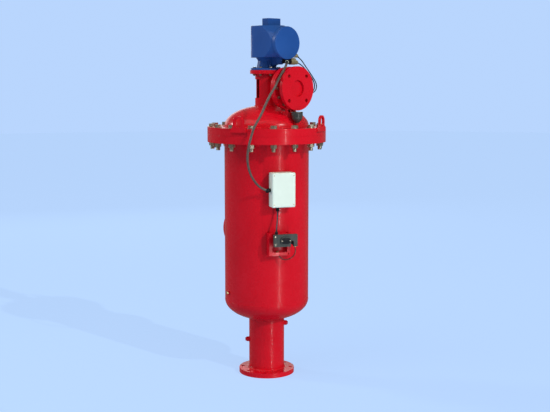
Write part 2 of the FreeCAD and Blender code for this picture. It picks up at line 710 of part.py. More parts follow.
def lifting_lugs():
    """Flat eye plates welded flat against the rim of the cover flange."""
    foot = COVER_FLANGE_TOP - LUG_DROP
    top = COVER_FLANGE_TOP + LUG_RISE
    half = LUG_WIDTH / 2
    back = JOINT_RADIUS - LUG_SINK
    front = back + LUG_THICKNESS
    shoulder = COVER_FLANGE_TOP + LUG_EYE_GAP
    plate_points = [
        Vector(-LUG_FOOT_WIDTH / 2, -back, foot),
        Vector(LUG_FOOT_WIDTH / 2, -back, foot),
        Vector(half, -back, shoulder + LUG_SHOULDER_RISE),
        Vector(half, -back, top - half),
    ]
    crown = Part.Arc(plate_points[3], Vector(0, -back, top), Vector(-half, -back, top - half))
    left_shoulder = Vector(-half, -back, shoulder + LUG_SHOULDER_RISE)
    edges = [
        Part.LineSegment(plate_points[0], plate_points[1]).toShape(),
        Part.LineSegment(plate_points[1], plate_points[2]).toShape(),
        Part.LineSegment(plate_points[2], plate_points[3]).toShape(),
        crown.toShape(),
        Part.LineSegment(Vector(-half, -back, top - half), left_shoulder).toShape(),
        Part.LineSegment(left_shoulder, plate_points[0]).toShape(),
    ]
    plate = Part.Face(Part.Wire(edges)).extrude(Vector(0, back - front, 0))
    eye_radius = LUG_EYE_WIDTH / 2
    low = shoulder + eye_radius
    high = shoulder + LUG_EYE_HEIGHT - eye_radius
    slot = fused(
        [
            forward_rod(eye_radius, back - 5, front + 5, 0, low),
            forward_rod(eye_radius, back - 5, front + 5, 0, high),
            block((-eye_radius, eye_radius), (back - 5, front + 5), (low, high)),
        ]
    )
    plate = plate.cut(slot).cut(rod(JOINT_RADIUS, foot - 1, COVER_FLANGE_TOP))
    return group([turned(plate, bearing) for bearing in LUG_BEARINGS])


def cover_dome():
    skirt = DOME_TANGENT - COVER_FLANGE_BOTTOM
    dome = dished_head(DOME_TANGENT, 1, skirt)
    boss = rod(BOSS_RADIUS, BOSS_BOTTOM, BOSS_TOP)
    dome = fused([dome, boss])
    dome = dome.cut(rod(SHAFT_RADIUS + RUNNING_CLEARANCE, BOSS_BOTTOM - 1, BOSS_TOP + 1))
    dome = dome.cut(rod(SEAL_POCKET_RADIUS, BOSS_TOP - SEAL_POCKET_DEPTH, BOSS_TOP + 1))
    port = rod(LEG_RADIUS - LEG_WALL, DOME_TANGENT, LEG_TOP, 0, -LEG_REACH)
    return dome.cut(turned(port, VALVE_BEARING))


def seal_rings():
    """Shaft seal, screen end seals and the partition seal."""
    shaft = ring(
        SEAL_POCKET_RADIUS,
        SHAFT_RADIUS + RUNNING_CLEARANCE,
        BOSS_TOP - SEAL_POCKET_DEPTH,
        BOSS_TOP - 2,
    )
    middle = FRAME_INNER_RADIUS + FRAME_THICKNESS / 2
    low = ring(middle + 1.5, middle - 1.5, SEAT_TOP, SEAT_TOP + 3)
    high = ring(middle + 1.5, middle - 1.5, SCREEN_TOP - 3, PARTITION_BOTTOM)
    return group([shaft, low, high])


def screen_seat():
    """Ring welded in the shell, with a three-armed spider that carries the lower bush."""
    bottom = SEAT_TOP - SEAT_THICKNESS
    seat = ring(SHELL_BORE_RADIUS, SEAT_INNER_RADIUS, bottom, SEAT_TOP)
    arm = block(
        (-SPIDER_ARM_WIDTH / 2, SPIDER_ARM_WIDTH / 2),
        (SPIDER_HUB_RADIUS - 4, SEAT_INNER_RADIUS + 4),
        (bottom, SEAT_TOP),
    )
    hub = rod(SPIDER_HUB_RADIUS, HUB_BOTTOM, HUB_BOTTOM + SPIDER_HUB_HEIGHT)
    whole = fused([seat, hub] + around(arm, 3, 60.0))
    bush = PIN_RADIUS + RUNNING_CLEARANCE + BUSH_WALL
    return whole.cut(rod(bush, HUB_BOTTOM - 1, HUB_BOTTOM + SPIDER_HUB_HEIGHT + 1))


def screen_mesh():
    return ring(FRAME_INNER_RADIUS, MESH_RADIUS, SEAT_TOP, SCREEN_TOP)


def screen_frame():
    """Perforated support cylinder around the mesh, with plain bands at its ends."""
    frame = ring(FRAME_OUTER_RADIUS, FRAME_INNER_RADIUS, SEAT_TOP, SCREEN_TOP)
    low = SEAT_TOP + FRAME_END_BAND
    pitch = (SCREEN_TOP - FRAME_END_BAND - low) / FRAME_WINDOW_ROWS
    around_pitch = 2 * math.pi * FRAME_OUTER_RADIUS / FRAME_WINDOW_COLUMNS
    half = (around_pitch - FRAME_RIB) / 2
    reaches = (FRAME_INNER_RADIUS - 60, FRAME_OUTER_RADIUS + 5)
    windows = []
    for row in range(FRAME_WINDOW_ROWS):
        bottom = low + row * pitch + FRAME_RIB / 2
        window = block((-half * 0.9, half * 0.9), reaches, (bottom, bottom + pitch - FRAME_RIB))
        windows += around(window, FRAME_WINDOW_COLUMNS)
    frame = frame.cut(Part.makeCompound(windows))
    middle = FRAME_INNER_RADIUS + FRAME_THICKNESS / 2
    frame = frame.cut(ring(middle + 1.5, middle - 1.5, SEAT_TOP - 1, SEAT_TOP + 3))
    return frame.cut(ring(middle + 1.5, middle - 1.5, SCREEN_TOP - 3, SCREEN_TOP + 1))


def partition_plate():
    plate = rod(VESSEL_RADIUS, PARTITION_BOTTOM, BODY_FLANGE_TOP)
    bush = COLLECTOR_RADIUS + RUNNING_CLEARANCE + BUSH_WALL
    return plate.cut(rod(bush, PARTITION_BOTTOM - 1, BODY_FLANGE_TOP + 1))


def bearing_bushes():
    """Bronze bushes: lower pin, collector in the partition, and the drive sleeve."""
    pin = PIN_RADIUS + RUNNING_CLEARANCE
    lower = ring(pin + BUSH_WALL, pin, HUB_BOTTOM, HUB_BOTTOM + SPIDER_HUB_HEIGHT)
    neck = COLLECTOR_RADIUS + RUNNING_CLEARANCE
    partition = ring(neck + BUSH_WALL, neck, PARTITION_BOTTOM, BODY_FLANGE_TOP)
    flange = ring(neck + BUSH_WALL + 8, neck, BODY_FLANGE_TOP, BODY_FLANGE_TOP + 5)
    bore = SLEEVE_RADIUS + RUNNING_CLEARANCE
    low_sleeve = ring(BUSH_RADIUS, bore, DRIVE_FLANGE_TOP, DRIVE_FLANGE_TOP + DRIVE_BUSH_LENGTH)
    high_sleeve = ring(BUSH_RADIUS, bore, DRIVE_DECK_TOP - DRIVE_BUSH_LENGTH, DRIVE_DECK_TOP)
    thrust = ring(BUSH_RADIUS + 8, bore, DRIVE_DECK_TOP, CARRIER_BOTTOM - 0.1)
    return group(
        [lower, fused([partition, flange]), low_sleeve, fused([high_sleeve, thrust])]
    )


def collector_tube():
    """Central suction pipe, closed at both ends, with discharge slots above the partition."""
    tube = rod(COLLECTOR_RADIUS, COLLECTOR_BOTTOM, COLLECTOR_TOP)
    hollow = rod(
        COLLECTOR_RADIUS - COLLECTOR_WALL,
        COLLECTOR_BOTTOM + COLLECTOR_CAP,
        COLLECTOR_TOP - COLLECTOR_CAP,
    )
    tube = tube.cut(hollow)
    pin_bottom = HUB_BOTTOM - STROKE - 5
    tube = fused([tube, rod(PIN_RADIUS, pin_bottom, COLLECTOR_BOTTOM + 1)])
    slot = block(
        (-COLLECTOR_SLOT_WIDTH / 2, COLLECTOR_SLOT_WIDTH / 2),
        (5, COLLECTOR_RADIUS + 5),
        (COLLECTOR_SLOT_BOTTOM, COLLECTOR_SLOT_BOTTOM + COLLECTOR_SLOT_HEIGHT),
    )
    tube = tube.cut(Part.makeCompound(around(slot, 4)))
    holes = []
    for index in range(NOZZLE_COUNT):
        height = NOZZLE_FIRST_HEIGHT + index * STROKE
        hole = forward_rod(NOZZLE_ARM_RADIUS, 10, COLLECTOR_RADIUS + 5, 0, height)
        holes.append(turned(hole, index * 360.0 / NOZZLE_COUNT))
    return tube.cut(Part.makeCompound(holes))


def suction_nozzles():
    """Radial suction arms one stroke apart, each with a flared mouth close to the mesh."""
    tip = MESH_RADIUS - NOZZLE_GAP
    nozzles = []
    for index in range(NOZZLE_COUNT):
        height = NOZZLE_FIRST_HEIGHT + index * STROKE
        arm = forward_rod(NOZZLE_ARM_RADIUS, COLLECTOR_RADIUS - COLLECTOR_WALL, tip - 4, 0, height)
        mouth = block(
            (-NOZZLE_MOUTH_WIDTH / 2, NOZZLE_MOUTH_WIDTH / 2),
            (tip - NOZZLE_MOUTH_LENGTH, tip + 5),
            (height - NOZZLE_MOUTH_HEIGHT / 2, height + NOZZLE_MOUTH_HEIGHT / 2),
        )
        mouth = mouth.common(rod(tip, height - 40, height + 40))
        slit = block(
            (-NOZZLE_MOUTH_WIDTH / 2 + 3, NOZZLE_MOUTH_WIDTH / 2 - 3),
            (tip - 8, tip + 5),
            (height - NOZZLE_MOUTH_HEIGHT / 2 + 3, height + NOZZLE_MOUTH_HEIGHT / 2 - 3),
        )
        bore = forward_rod(NOZZLE_BORE_RADIUS, COLLECTOR_RADIUS - 10, tip - 6, 0, height)
        nozzle = fused([arm, mouth]).cut(slit).cut(bore)
        nozzles.append(turned(nozzle, index * 360.0 / NOZZLE_COUNT))
    return group(nozzles)


def drive_shaft():
    """Screwed shaft from the collector to the drive, with its limit collar and two keys."""
    shaft = rod(SHAFT_RADIUS, COLLECTOR_TOP, SHAFT_TOP)
    collar = rod(
        LIMIT_COLLAR_RADIUS,
        LIMIT_COLLAR_HEIGHT - LIMIT_COLLAR_THICKNESS / 2,
        LIMIT_COLLAR_HEIGHT + LIMIT_COLLAR_THICKNESS / 2,
    )
    key = block(
        (-KEY_WIDTH / 2, KEY_WIDTH / 2),
        (-KEY_RADIUS, KEY_RADIUS),
        (SHAFT_TOP - KEY_LENGTH - 3, SHAFT_TOP - 3),
    )
    return fused([shaft, collar, key])


def lantern():
    """Window housing and its round top plate, welded to the dome."""
    bottom = DOME_TANGENT + HEAD_HEIGHT / 2
    tube = ring(LANTERN_RADIUS, LANTERN_RADIUS - LANTERN_WALL, bottom, LANTERN_PLATE_BOTTOM + 1)
    span = WINDOW_LAST_BEARING - WINDOW_FIRST_BEARING
    wedge = Part.makeCylinder(
        LANTERN_RADIUS + 20,
        WINDOW_TOP - WINDOW_BOTTOM,
        Vector(0, 0, WINDOW_BOTTOM),
        Vector(0, 0, 1),
        span,
    )
    wedge = turned(wedge, WINDOW_FIRST_BEARING - 90)
    tube = tube.cut(wedge).cut(dome_filling())
    plate = rod(LANTERN_PLATE_RADIUS, LANTERN_PLATE_BOTTOM, LANTERN_PLATE_TOP)
    whole = fused([tube, plate])
    whole = whole.cut(rod(DRIVE_NUT_RADIUS, LANTERN_PLATE_BOTTOM - 1, LANTERN_PLATE_TOP + 1))
    return whole.cut(lantern_holes(LANTERN_PLATE_BOTTOM, LANTERN_PLATE_TOP))


def lantern_holes(bottom, top):
    hole = rod(LANTERN_BOLT_RADIUS + 0.5, bottom - 1, top + 1, 0, -LANTERN_BOLT_CIRCLE_RADIUS)
    return Part.makeCompound(around(hole, LANTERN_BOLT_COUNT))


def lantern_fasteners():
    """Bolts that hold the drive on the lantern, and their nuts."""
    y = -LANTERN_BOLT_CIRCLE_RADIUS
    top = DRIVE_FLANGE_TOP
    nut_bottom = LANTERN_PLATE_BOTTOM - LANTERN_NUT_HEIGHT
    head = turned_hexagon(LANTERN_BOLT_HEX, top, top + LANTERN_BOLT_HEAD, y)
    bolt = fused([head, rod(LANTERN_BOLT_RADIUS, nut_bottom - LANTERN_BOLT_END, top, 0, y)])
    nut = turned_hexagon(LANTERN_BOLT_HEX, nut_bottom, LANTERN_PLATE_BOTTOM, y)
    nut = nut.cut(rod(LANTERN_BOLT_RADIUS, nut_bottom - 1, LANTERN_PLATE_BOTTOM + 1, 0, y))
    return group(around(bolt, LANTERN_BOLT_COUNT) + around(nut, LANTERN_BOLT_COUNT))


def turned_hexagon(across, bottom, top, y):
    """Hexagon with a flat toward the axis, so that it clears the wall beside it."""
    prism = hexagon(across, bottom, top)
    prism.rotate(Vector(0, 0, 0), Vector(0, 0, 1), 30)
    prism.translate(Vector(0, y, 0))
    return prism


def drive_nut():
    """Fixed bronze nut in the lantern plate that the screwed shaft climbs in."""
    flange_bottom = LANTERN_PLATE_BOTTOM - DRIVE_NUT_FLANGE_THICKNESS
    nut = fused(
        [
            rod(DRIVE_NUT_RADIUS, DRIVE_NUT_BOTTOM, LANTERN_PLATE_TOP),
            rod(DRIVE_NUT_FLANGE_RADIUS, flange_bottom, LANTERN_PLATE_BOTTOM),
        ]
    )
    return nut.cut(
        rod(SHAFT_RADIUS + RUNNING_CLEARANCE, DRIVE_NUT_BOTTOM - 1, LANTERN_PLATE_TOP + 1)
    )


def limit_switches():
    """Two proximity sensors on the inside of the lantern, beside the window."""
    inner = LANTERN_RADIUS - LANTERN_WALL
    sensors = []
    for bottom, top in (SENSOR_LOW, SENSOR_HIGH):
        body = block(
            (-SENSOR_WIDTH / 2, SENSOR_WIDTH / 2),
            (inner - SENSOR_DEPTH, inner + 2),
            (bottom, top),
        )
        body = body.common(rod(inner, bottom - 1, top + 1))
        sensors.append(turned(body, SENSOR_BEARING))
    return group(sensors)


def actuator_base():
    """Flanged conical neck under the drive."""
    outline = [
        (SLEEVE_RADIUS + BUSH_WALL, LANTERN_PLATE_TOP),
        (DRIVE_FLANGE_RADIUS, LANTERN_PLATE_TOP),
        (DRIVE_FLANGE_RADIUS, DRIVE_FLANGE_TOP),
        (NECK_FOOT_RADIUS, DRIVE_FLANGE_TOP),
        (NECK_WAIST_RADIUS, NECK_WAIST_HEIGHT),
        (NECK_WAIST_RADIUS + 3, NECK_WAIST_HEIGHT + 9),
        (NECK_HEAD_RADIUS, DRIVE_BODY_BOTTOM),
        (SLEEVE_RADIUS + BUSH_WALL, DRIVE_BODY_BOTTOM),
    ]
    base = revolved(outline)
    return base.cut(lantern_holes(LANTERN_PLATE_TOP, DRIVE_FLANGE_TOP))


def drive_form():
    """Outer form of the drive: a drum whose flat sides run forward into a round mouth."""
    radius = DRIVE_BODY_RADIUS
    height = DRIVE_TOP - DRIVE_BODY_BOTTOM
    corners = [
        Vector(-radius, 0, DRIVE_BODY_BOTTOM),
        Vector(-radius, -BARREL_FRONT_REACH, DRIVE_BODY_BOTTOM),
        Vector(radius, -BARREL_FRONT_REACH, DRIVE_BODY_BOTTOM),
        Vector(radius, 0, DRIVE_BODY_BOTTOM),
    ]
    rear = Part.Arc(corners[3], Vector(0, radius, DRIVE_BODY_BOTTOM), corners[0])
    edges = [Part.LineSegment(first, last).toShape() for first, last in zip(corners, corners[1:])]
    form = Part.Face(Part.Wire(edges + [rear.toShape()])).extrude(Vector(0, 0, height))
    top_rim = [form.Edges[index] for index in top_edges(form)]
    rounded = [edge for edge in top_rim if edge.BoundBox.YMax > -BARREL_FRONT_REACH + 1]
    form = form.makeFillet(DRIVE_LID_ROUND, rounded)
    taper = Part.makeCone(
        BARREL_TAPER_RADIUS,
        BARREL_RADIUS,
        BARREL_BACK_REACH - BARREL_TAPER_REACH,
        Vector(0, -BARREL_TAPER_REACH, BARREL_HEIGHT),
        Vector(0, -1, 0),
    )
    mouth = forward_rod(BARREL_RADIUS, BARREL_BACK_REACH, BARREL_FRONT_REACH, 0, BARREL_HEIGHT)
    limit = forward_rod(
        BARREL_TAPER_RADIUS, -BARREL_TAPER_RADIUS, BARREL_TAPER_REACH, 0, BARREL_HEIGHT
    )
    form = form.common(fused([limit, taper, mouth]))
    return turned(fused([form, mouth]), DRIVE_BEARING)


def above_seam():
    """The space over the joint between the drive body and its lid."""
    return rod(BARREL_FRONT_REACH + DRIVE_BODY_RADIUS, DRIVE_SEAM, DRIVE_TOP + 1)


def wire_space():
    """Hollow of the terminal compartment, open toward its round cover."""
    space = forward_rod(
        BARREL_RADIUS - BARREL_WALL, DRIVE_BODY_RADIUS + 4, BARREL_FRONT_REACH + 1, 0, BARREL_HEIGHT
    )
    floor_top = DRIVE_BODY_BOTTOM + DRIVE_FLOOR
    floor = rod(2 * BARREL_FRONT_REACH, floor_top - BARREL_RADIUS, floor_top)
    return turned(space.cut(floor), DRIVE_BEARING)


def drive_lobe():
    """Round lobe under the compartment and the web that ties it to the neck."""
    top = DRIVE_BODY_BOTTOM + 1
    lobe = rod(LOBE_RADIUS, LOBE_BOTTOM, top, 0, -LOBE_REACH)
    lobe = lobe.makeFillet(LOBE_RADIUS * 0.6, [lobe.Edges[index] for index in bottom_edges(lobe)])
    side = -LOBE_WEB_WIDTH / 2
    corners = [
        Vector(side, -NECK_WAIST_RADIUS + LOBE_WEB_LIFT, DRIVE_FLANGE_TOP + LOBE_WEB_LIFT),
        Vector(side, -LOBE_REACH, LOBE_BOTTOM + 2 * LOBE_WEB_LIFT),
        Vector(side, -LOBE_REACH, top),
        Vector(side, -NECK_WAIST_RADIUS + LOBE_WEB_LIFT, top),
    ]
    web = Part.Face(Part.makePolygon(corners + corners[:1])).extrude(Vector(LOBE_WEB_WIDTH, 0, 0))
    return turned(fused([lobe, web]), DRIVE_BEARING).cut(actuator_base())


def actuator_body():
    """Drive housing with the terminal compartment in its front, below the lid's seam."""
    deck_bottom = DRIVE_DECK_TOP - DRIVE_FLOOR
    boss_bottom = DRIVE_SEAM - DRIVE_LID_BOSS_LENGTH
    boss = rod(DRIVE_LID_BOSS_RADIUS, boss_bottom, DRIVE_SEAM, 0, -DRIVE_LID_SCREW_CIRCLE_RADIUS)
    outside = [drive_form().cut(above_seam()), drive_lobe()]
    body = fused(outside + around(boss, DRIVE_LID_SCREWS))
    motor_space = rod(DRIVE_BORE_RADIUS, DRIVE_DECK_TOP, DRIVE_SEAM + 1)
    oil_space = ring(DRIVE_BORE_RADIUS, DRIVE_HUB_RADIUS, DRIVE_BODY_BOTTOM + DRIVE_FLOOR, deck_bottom)
    body = body.cut(motor_space).cut(wire_space()).cut(oil_space)
    return body.cut(rod(BUSH_RADIUS, DRIVE_BODY_BOTTOM - 1, DRIVE_DECK_TOP + 1))


def bottom_edges(shape):
    """Indexes of the edges that lie in the shape's lowest plane."""
    low = shape.BoundBox.ZMin
    found = []
    for index, edge in enumerate(shape.Edges):
        if edge.BoundBox.ZMax < low + 0.01:
            found.append(index)
    return found


def top_edges(shape):
    """Indexes of the edges that lie in the shape's highest plane."""
    high = shape.BoundBox.ZMax
    found = []
    for index, edge in enumerate(shape.Edges):
        if edge.BoundBox.ZMin > high - 0.01:
            found.append(index)
    return found


def actuator_cap():
    """Lid of the drive housing with screw bosses and the raised rectangular block."""
    lid = drive_form().common(above_seam())
    y = -DRIVE_LID_SCREW_CIRCLE_RADIUS
    seat = DRIVE_TOP - DRIVE_LID_SCREW_RECESS
    boss = rod(DRIVE_LID_BOSS_RADIUS, DRIVE_SEAM, seat, 0, y)
    recess = rod(DRIVE_LID_BOSS_RADIUS, seat, DRIVE_TOP + 1, 0, y)
    lid = lid.cut(Part.makeCompound(around(recess, DRIVE_LID_SCREWS)))
    parts = [lid] + around(boss, DRIVE_LID_SCREWS)
    top_block = block(
        (-TOP_BLOCK_WIDTH / 2, TOP_BLOCK_WIDTH / 2),
        (TOP_BLOCK_FRONT_REACH - TOP_BLOCK_DEPTH, TOP_BLOCK_FRONT_REACH),
        (DRIVE_TOP - 1, DRIVE_TOP + TOP_BLOCK_HEIGHT),
    )
    top_block = top_block.makeFillet(3.0, top_block.Edges)
    parts.append(turned(top_block, DRIVE_BEARING))
    cap = fused(parts)
    cap = cap.cut(rod(DRIVE_BORE_RADIUS, DRIVE_SEAM - 1, DRIVE_TOP - DRIVE_LID_THICKNESS))
    cap = cap.cut(wire_space())
    spigot = rod(MOTOR_SHAFT_RADIUS + MOTOR_BEARING_WALL, STATOR_TOP + MOTOR_CLEARANCE, DRIVE_TOP - 2)
    cap = fused([cap, spigot])
    bore = MOTOR_SHAFT_RADIUS + RUNNING_CLEARANCE
    return cap.cut(rod(bore, STATOR_TOP, DRIVE_TOP - DRIVE_LID_THICKNESS))


def compartment_cover():
    cover = forward_rod(
        BARREL_COVER_RADIUS,
        BARREL_FRONT_REACH,
        BARREL_FRONT_REACH + BARREL_COVER_THICKNESS,
        0,
        BARREL_HEIGHT,
    )
    front = -(BARREL_FRONT_REACH + BARREL_COVER_THICKNESS)
    rim = [edge for edge in cover.Edges if edge.BoundBox.YMax < front + 0.01]
    cover = cover.makeFillet(5.0, rim)
    return turned(cover, DRIVE_BEARING)


def small_screws():
    """Screws of the drive lid, the terminal cover, the control box and the switch."""
    screws = []
    seat = DRIVE_TOP - DRIVE_LID_SCREW_RECESS
    lid_screw = hexagon(
        DRIVE_LID_SCREW_HEX, seat, seat + DRIVE_LID_SCREW_HEAD, 0, -DRIVE_LID_SCREW_CIRCLE_RADIUS
    )
    screws += around(lid_screw, DRIVE_LID_SCREWS)
    half = BOX_WIDTH / 2 - BOX_SCREW_INSET
    low = BOX_BOTTOM + BOX_SCREW_END_INSET
    high = BOX_BOTTOM + BOX_HEIGHT - BOX_SCREW_END_INSET
    for side in (-half, half):
        for height in (low, high):
            front = BOX_FRONT_REACH + BOX_SCREW_HEAD
            screws.append(forward_rod(BOX_SCREW_RADIUS, BOX_FRONT_REACH, front, side, height))
    side = SWITCH_LEFT + SWITCH_SCREW_INSET
    front = SWITCH_FRONT_REACH + SWITCH_SCREW_HEAD
    for height in (SWITCH_TOP - SWITCH_SCREW_DROP, SWITCH_BOTTOM + SWITCH_SCREW_RISE):
        screws.append(forward_rod(SWITCH_SCREW_RADIUS, SWITCH_FRONT_REACH, front, side, height))
    back = SWITCH_FRONT_REACH + SWITCH_BOSS_DEPTH
    front = back + SWITCH_BOSS_SCREW_HEAD
    middle = (SWITCH_TOP + SWITCH_BOTTOM) / 2
    for offset in (-SWITCH_BOSS_SCREW_SIDE, SWITCH_BOSS_SCREW_SIDE):
        side = SWITCH_BOSS_SIDE + offset
        screws.append(forward_rod(SWITCH_BOSS_SCREW_RADIUS, back, front, side, middle))
    return group(screws)


def gear_outline(teeth, phase, inner):
    """Closed outline of trapezoidal teeth; an inner gear's teeth point to the centre."""
    pitch_radius = GEAR_MODULE * teeth / 2
    way = -1 if inner else 1
    tip = pitch_radius + way * TOOTH_ADDENDUM * GEAR_MODULE
    root = pitch_radius - way * TOOTH_DEDENDUM * GEAR_MODULE
    step = 360.0 / teeth
    points = []
    for index in range(teeth):
        middle = phase + index * step
        profile = (
            (root, -TOOTH_ROOT_SHARE / 2),
            (tip, -TOOTH_TIP_SHARE / 2),
            (tip, TOOTH_TIP_SHARE / 2),
            (root, TOOTH_ROOT_SHARE / 2),
        )
        for radius, share in profile:
            angle = math.radians(middle + share * step)
            points.append(Vector(radius * math.cos(angle), radius * math.sin(angle), GEAR_BOTTOM))
    points.append(points[0])
    return Part.Face(Part.makePolygon(points)).extrude(Vector(0, 0, GEAR_HEIGHT))


def planet_angle(index):
    return 360.0 * index / PLANET_COUNT


def planet_phase(index):
    """Turn of a planet that puts it in mesh with the ring, whose first tooth is at angle 0."""
    angle = planet_angle(index)
    ring_step = 360.0 / RING_TEETH
    planet_step = 360.0 / PLANET_TEETH
    ring_share = (angle / ring_step) % 1.0
    return angle - (ring_share + 0.5) * planet_step


def sun_phase():
    """Turn of the sun gear that puts it in mesh with the first planet."""
    planet_step = 360.0 / PLANET_TEETH
    planet_share = ((180.0 - planet_phase(0)) / planet_step) % 1.0
    return (planet_share - 0.5) * 360.0 / SUN_TEETH


def planet_gear(index):
    gear = gear_outline(PLANET_TEETH, planet_phase(index), False)
    bore = PLANET_PIN_RADIUS + RUNNING_CLEARANCE
    gear = gear.cut(rod(bore, GEAR_BOTTOM - 1, GEAR_TOP + 1))
    angle = math.radians(planet_angle(index))
    offset = Vector(math.cos(angle), math.sin(angle), 0) * PLANET_ORBIT_RADIUS
    gear.translate(offset)
    return gear


def ring_gear():
    blank = rod(DRIVE_BORE_RADIUS, GEAR_BOTTOM, GEAR_TOP)
    return blank.cut(gear_outline(RING_TEETH, 0.0, True))


def output_sleeve():
    """Hollow drive sleeve with two keyways, and the planet carrier on its upper end."""
    sleeve = rod(SLEEVE_RADIUS, SLEEVE_BOTTOM, CARRIER_TOP)
    carrier = rod(CARRIER_RADIUS, CARRIER_BOTTOM, CARRIER_TOP)
    pins = []
    for index in range(PLANET_COUNT):
        angle = math.radians(planet_angle(index))
        x = PLANET_ORBIT_RADIUS * math.cos(angle)
        y = PLANET_ORBIT_RADIUS * math.sin(angle)
        pins.append(rod(PLANET_PIN_RADIUS, CARRIER_TOP - 1, GEAR_TOP, x, y))
        pins.append(rod(PLANET_PIN_RADIUS + 4, CARRIER_TOP - 1, GEAR_BOTTOM - 0.3, x, y))
    whole = fused([sleeve, carrier] + pins)
    key_top = CARRIER_BOTTOM + 1
    whole = whole.cut(rod(SHAFT_RADIUS + RUNNING_CLEARANCE, SLEEVE_BOTTOM - 1, key_top))
    half = KEY_WIDTH / 2 + KEY_CLEARANCE
    reach = KEY_RADIUS + 0.4
    return whole.cut(block((-half, half), (-reach, reach), (SLEEVE_BOTTOM - 1, key_top)))


def motor_rotor():
    """Rotor, its shaft and the sun gear on the lower end."""
    sun = gear_outline(SUN_TEETH, sun_phase(), False)
    low = STATOR_BOTTOM + END_SHIELD_THICKNESS + MOTOR_CLEARANCE
    shaft = rod(MOTOR_SHAFT_RADIUS, GEAR_BOTTOM, DRIVE_TOP - DRIVE_LID_THICKNESS - 1)
    core = rod(ROTOR_RADIUS, low, STATOR_TOP - ROTOR_TOP_GAP)
    return fused([sun, shaft, core])


def motor_stator():
    """Wound stator with its lower end shield, which carries the rotor shaft."""
    shield_top = STATOR_BOTTOM + END_SHIELD_THICKNESS
    shield = ring(
        DRIVE_BORE_RADIUS, MOTOR_SHAFT_RADIUS + RUNNING_CLEARANCE, STATOR_BOTTOM, shield_top
    )
    core = ring(DRIVE_BORE_RADIUS, ROTOR_RADIUS + ROTOR_GAP, shield_top, STATOR_TOP)
    return fused([shield, core])


def flush_leg():
    """Welded neck between the cover dome and the flush valve."""
    leg = rod(LEG_RADIUS, DOME_TANGENT, LEG_TOP, 0, -LEG_REACH)
    leg = leg.cut(rod(LEG_RADIUS - LEG_WALL, DOME_TANGENT - 1, LEG_TOP + 1, 0, -LEG_REACH))
    leg = turned(leg, VALVE_BEARING)
    return leg.cut(dome_filling())


def valve_body():
    """Angle valve casting: rear flange, chamber, and a spout down to the neck."""
    height = VALVE_HEIGHT
    flange = forward_rod(
        VALVE_REAR_FLANGE_RADIUS, REAR_FLANGE_BACK_REACH, VALVE_REAR_FLANGE_FRONT_REACH, 0, height
    )
    chamber = forward_rod(
        VALVE_CHAMBER_RADIUS + VALVE_CHAMBER_WALL,
        REAR_FLANGE_BACK_REACH,
        VALVE_FRONT_FLANGE_BACK,
        0,
        height,
    )
    shoe_top = VALVE_HEIGHT - VALVE_FLANGE_RADIUS - 3
    shoe = rod(LEG_RADIUS, LEG_TOP, shoe_top, 0, -LEG_REACH)
    spout = block(
        (-SPOUT_HALF_WIDTH, SPOUT_HALF_WIDTH),
        (VALVE_REAR_FLANGE_FRONT_REACH, SPOUT_FRONT_REACH),
        (LEG_TOP, height - VALVE_CHAMBER_RADIUS),
    )
    spout = spout.common(spout_limit())
    body = fused([flange, chamber, shoe, spout])
    body = body.cut(
        forward_rod(
            VALVE_CHAMBER_RADIUS, REAR_FLANGE_BACK_REACH - 1, VALVE_FRONT_FLANGE_BACK + 1, 0, height
        )
    )
    half = SPOUT_HALF_WIDTH - SPOUT_WALL
    passage = block(
        (-half + 6, half - 6),
        (VALVE_REAR_FLANGE_FRONT_REACH + SPOUT_WALL, SPOUT_FRONT_REACH - SPOUT_WALL - 3),
        (LEG_TOP - 1, height - VALVE_CHAMBER_RADIUS + 25),
    )
    body = body.cut(passage).cut(stud_holes())
    return turned(body, VALVE_BEARING).cut(dome_filling())


def spout_limit():
    """Keeps the spout's lower end inside the round of the neck."""
    round_part = rod(LEG_RADIUS, LEG_TOP - 1, VALVE_HEIGHT, 0, -LEG_REACH)
    upper = block((-60, 60), (150, 260), (LEG_TOP + 12, VALVE_HEIGHT))
    return fused([round_part, upper])


def stud_holes():
    hole = forward_rod(
        VALVE_STUD_RADIUS + 0.5,
        VALVE_COVER_BACK_REACH - 1,
        VALVE_REAR_FLANGE_FRONT_REACH + 1,
        VALVE_STUD_CIRCLE_RADIUS,
        VALVE_HEIGHT,
    )
    return Part.makeCompound(about_valve_axis(hole, VALVE_STUD_COUNT))


def about_valve_axis(shape, count):
    copies = []
    for index in range(count):
        copy = shape.copy()
        copy.rotate(Vector(0, 0, VALVE_HEIGHT), Vector(0, 1, 0), 360.0 * index / count)
        copies.append(copy)
    return copies


def flush_flange():
    """Outlet flange of the flush valve, whose port ledge is the valve seat."""
    flange = forward_rod(
        VALVE_FLANGE_RADIUS, VALVE_FRONT_FLANGE_BACK, VALVE_FACE_REACH, 0, VALVE_HEIGHT
    )
    port = forward_rod(
        VALVE_PORT_RADIUS, VALVE_FRONT_FLANGE_BACK - 1, VALVE_FACE_REACH + 1, 0, VALVE_HEIGHT
    )
    pocket = forward_rod(
        PLUG_DISC_RADIUS + 4, VALVE_FRONT_FLANGE_BACK - 1, PORT_SEAT_REACH, 0, VALVE_HEIGHT
    )
    diagonal = VALVE_BOLT_CIRCLE_RADIUS / math.sqrt(2)
    holes = []
    for side in (-diagonal, diagonal):
        for lift in (-diagonal, diagonal):
            holes.append(
                forward_rod(
                    VALVE_BOLT_HOLE_RADIUS,
                    VALVE_FRONT_FLANGE_BACK - 1,
                    VALVE_FACE_REACH + 1,
                    side,
                    VALVE_HEIGHT + lift,
                )
            )
    flange = flange.cut(port).cut(pocket).cut(Part.makeCompound(holes))
    return turned(flange, VALVE_BEARING)


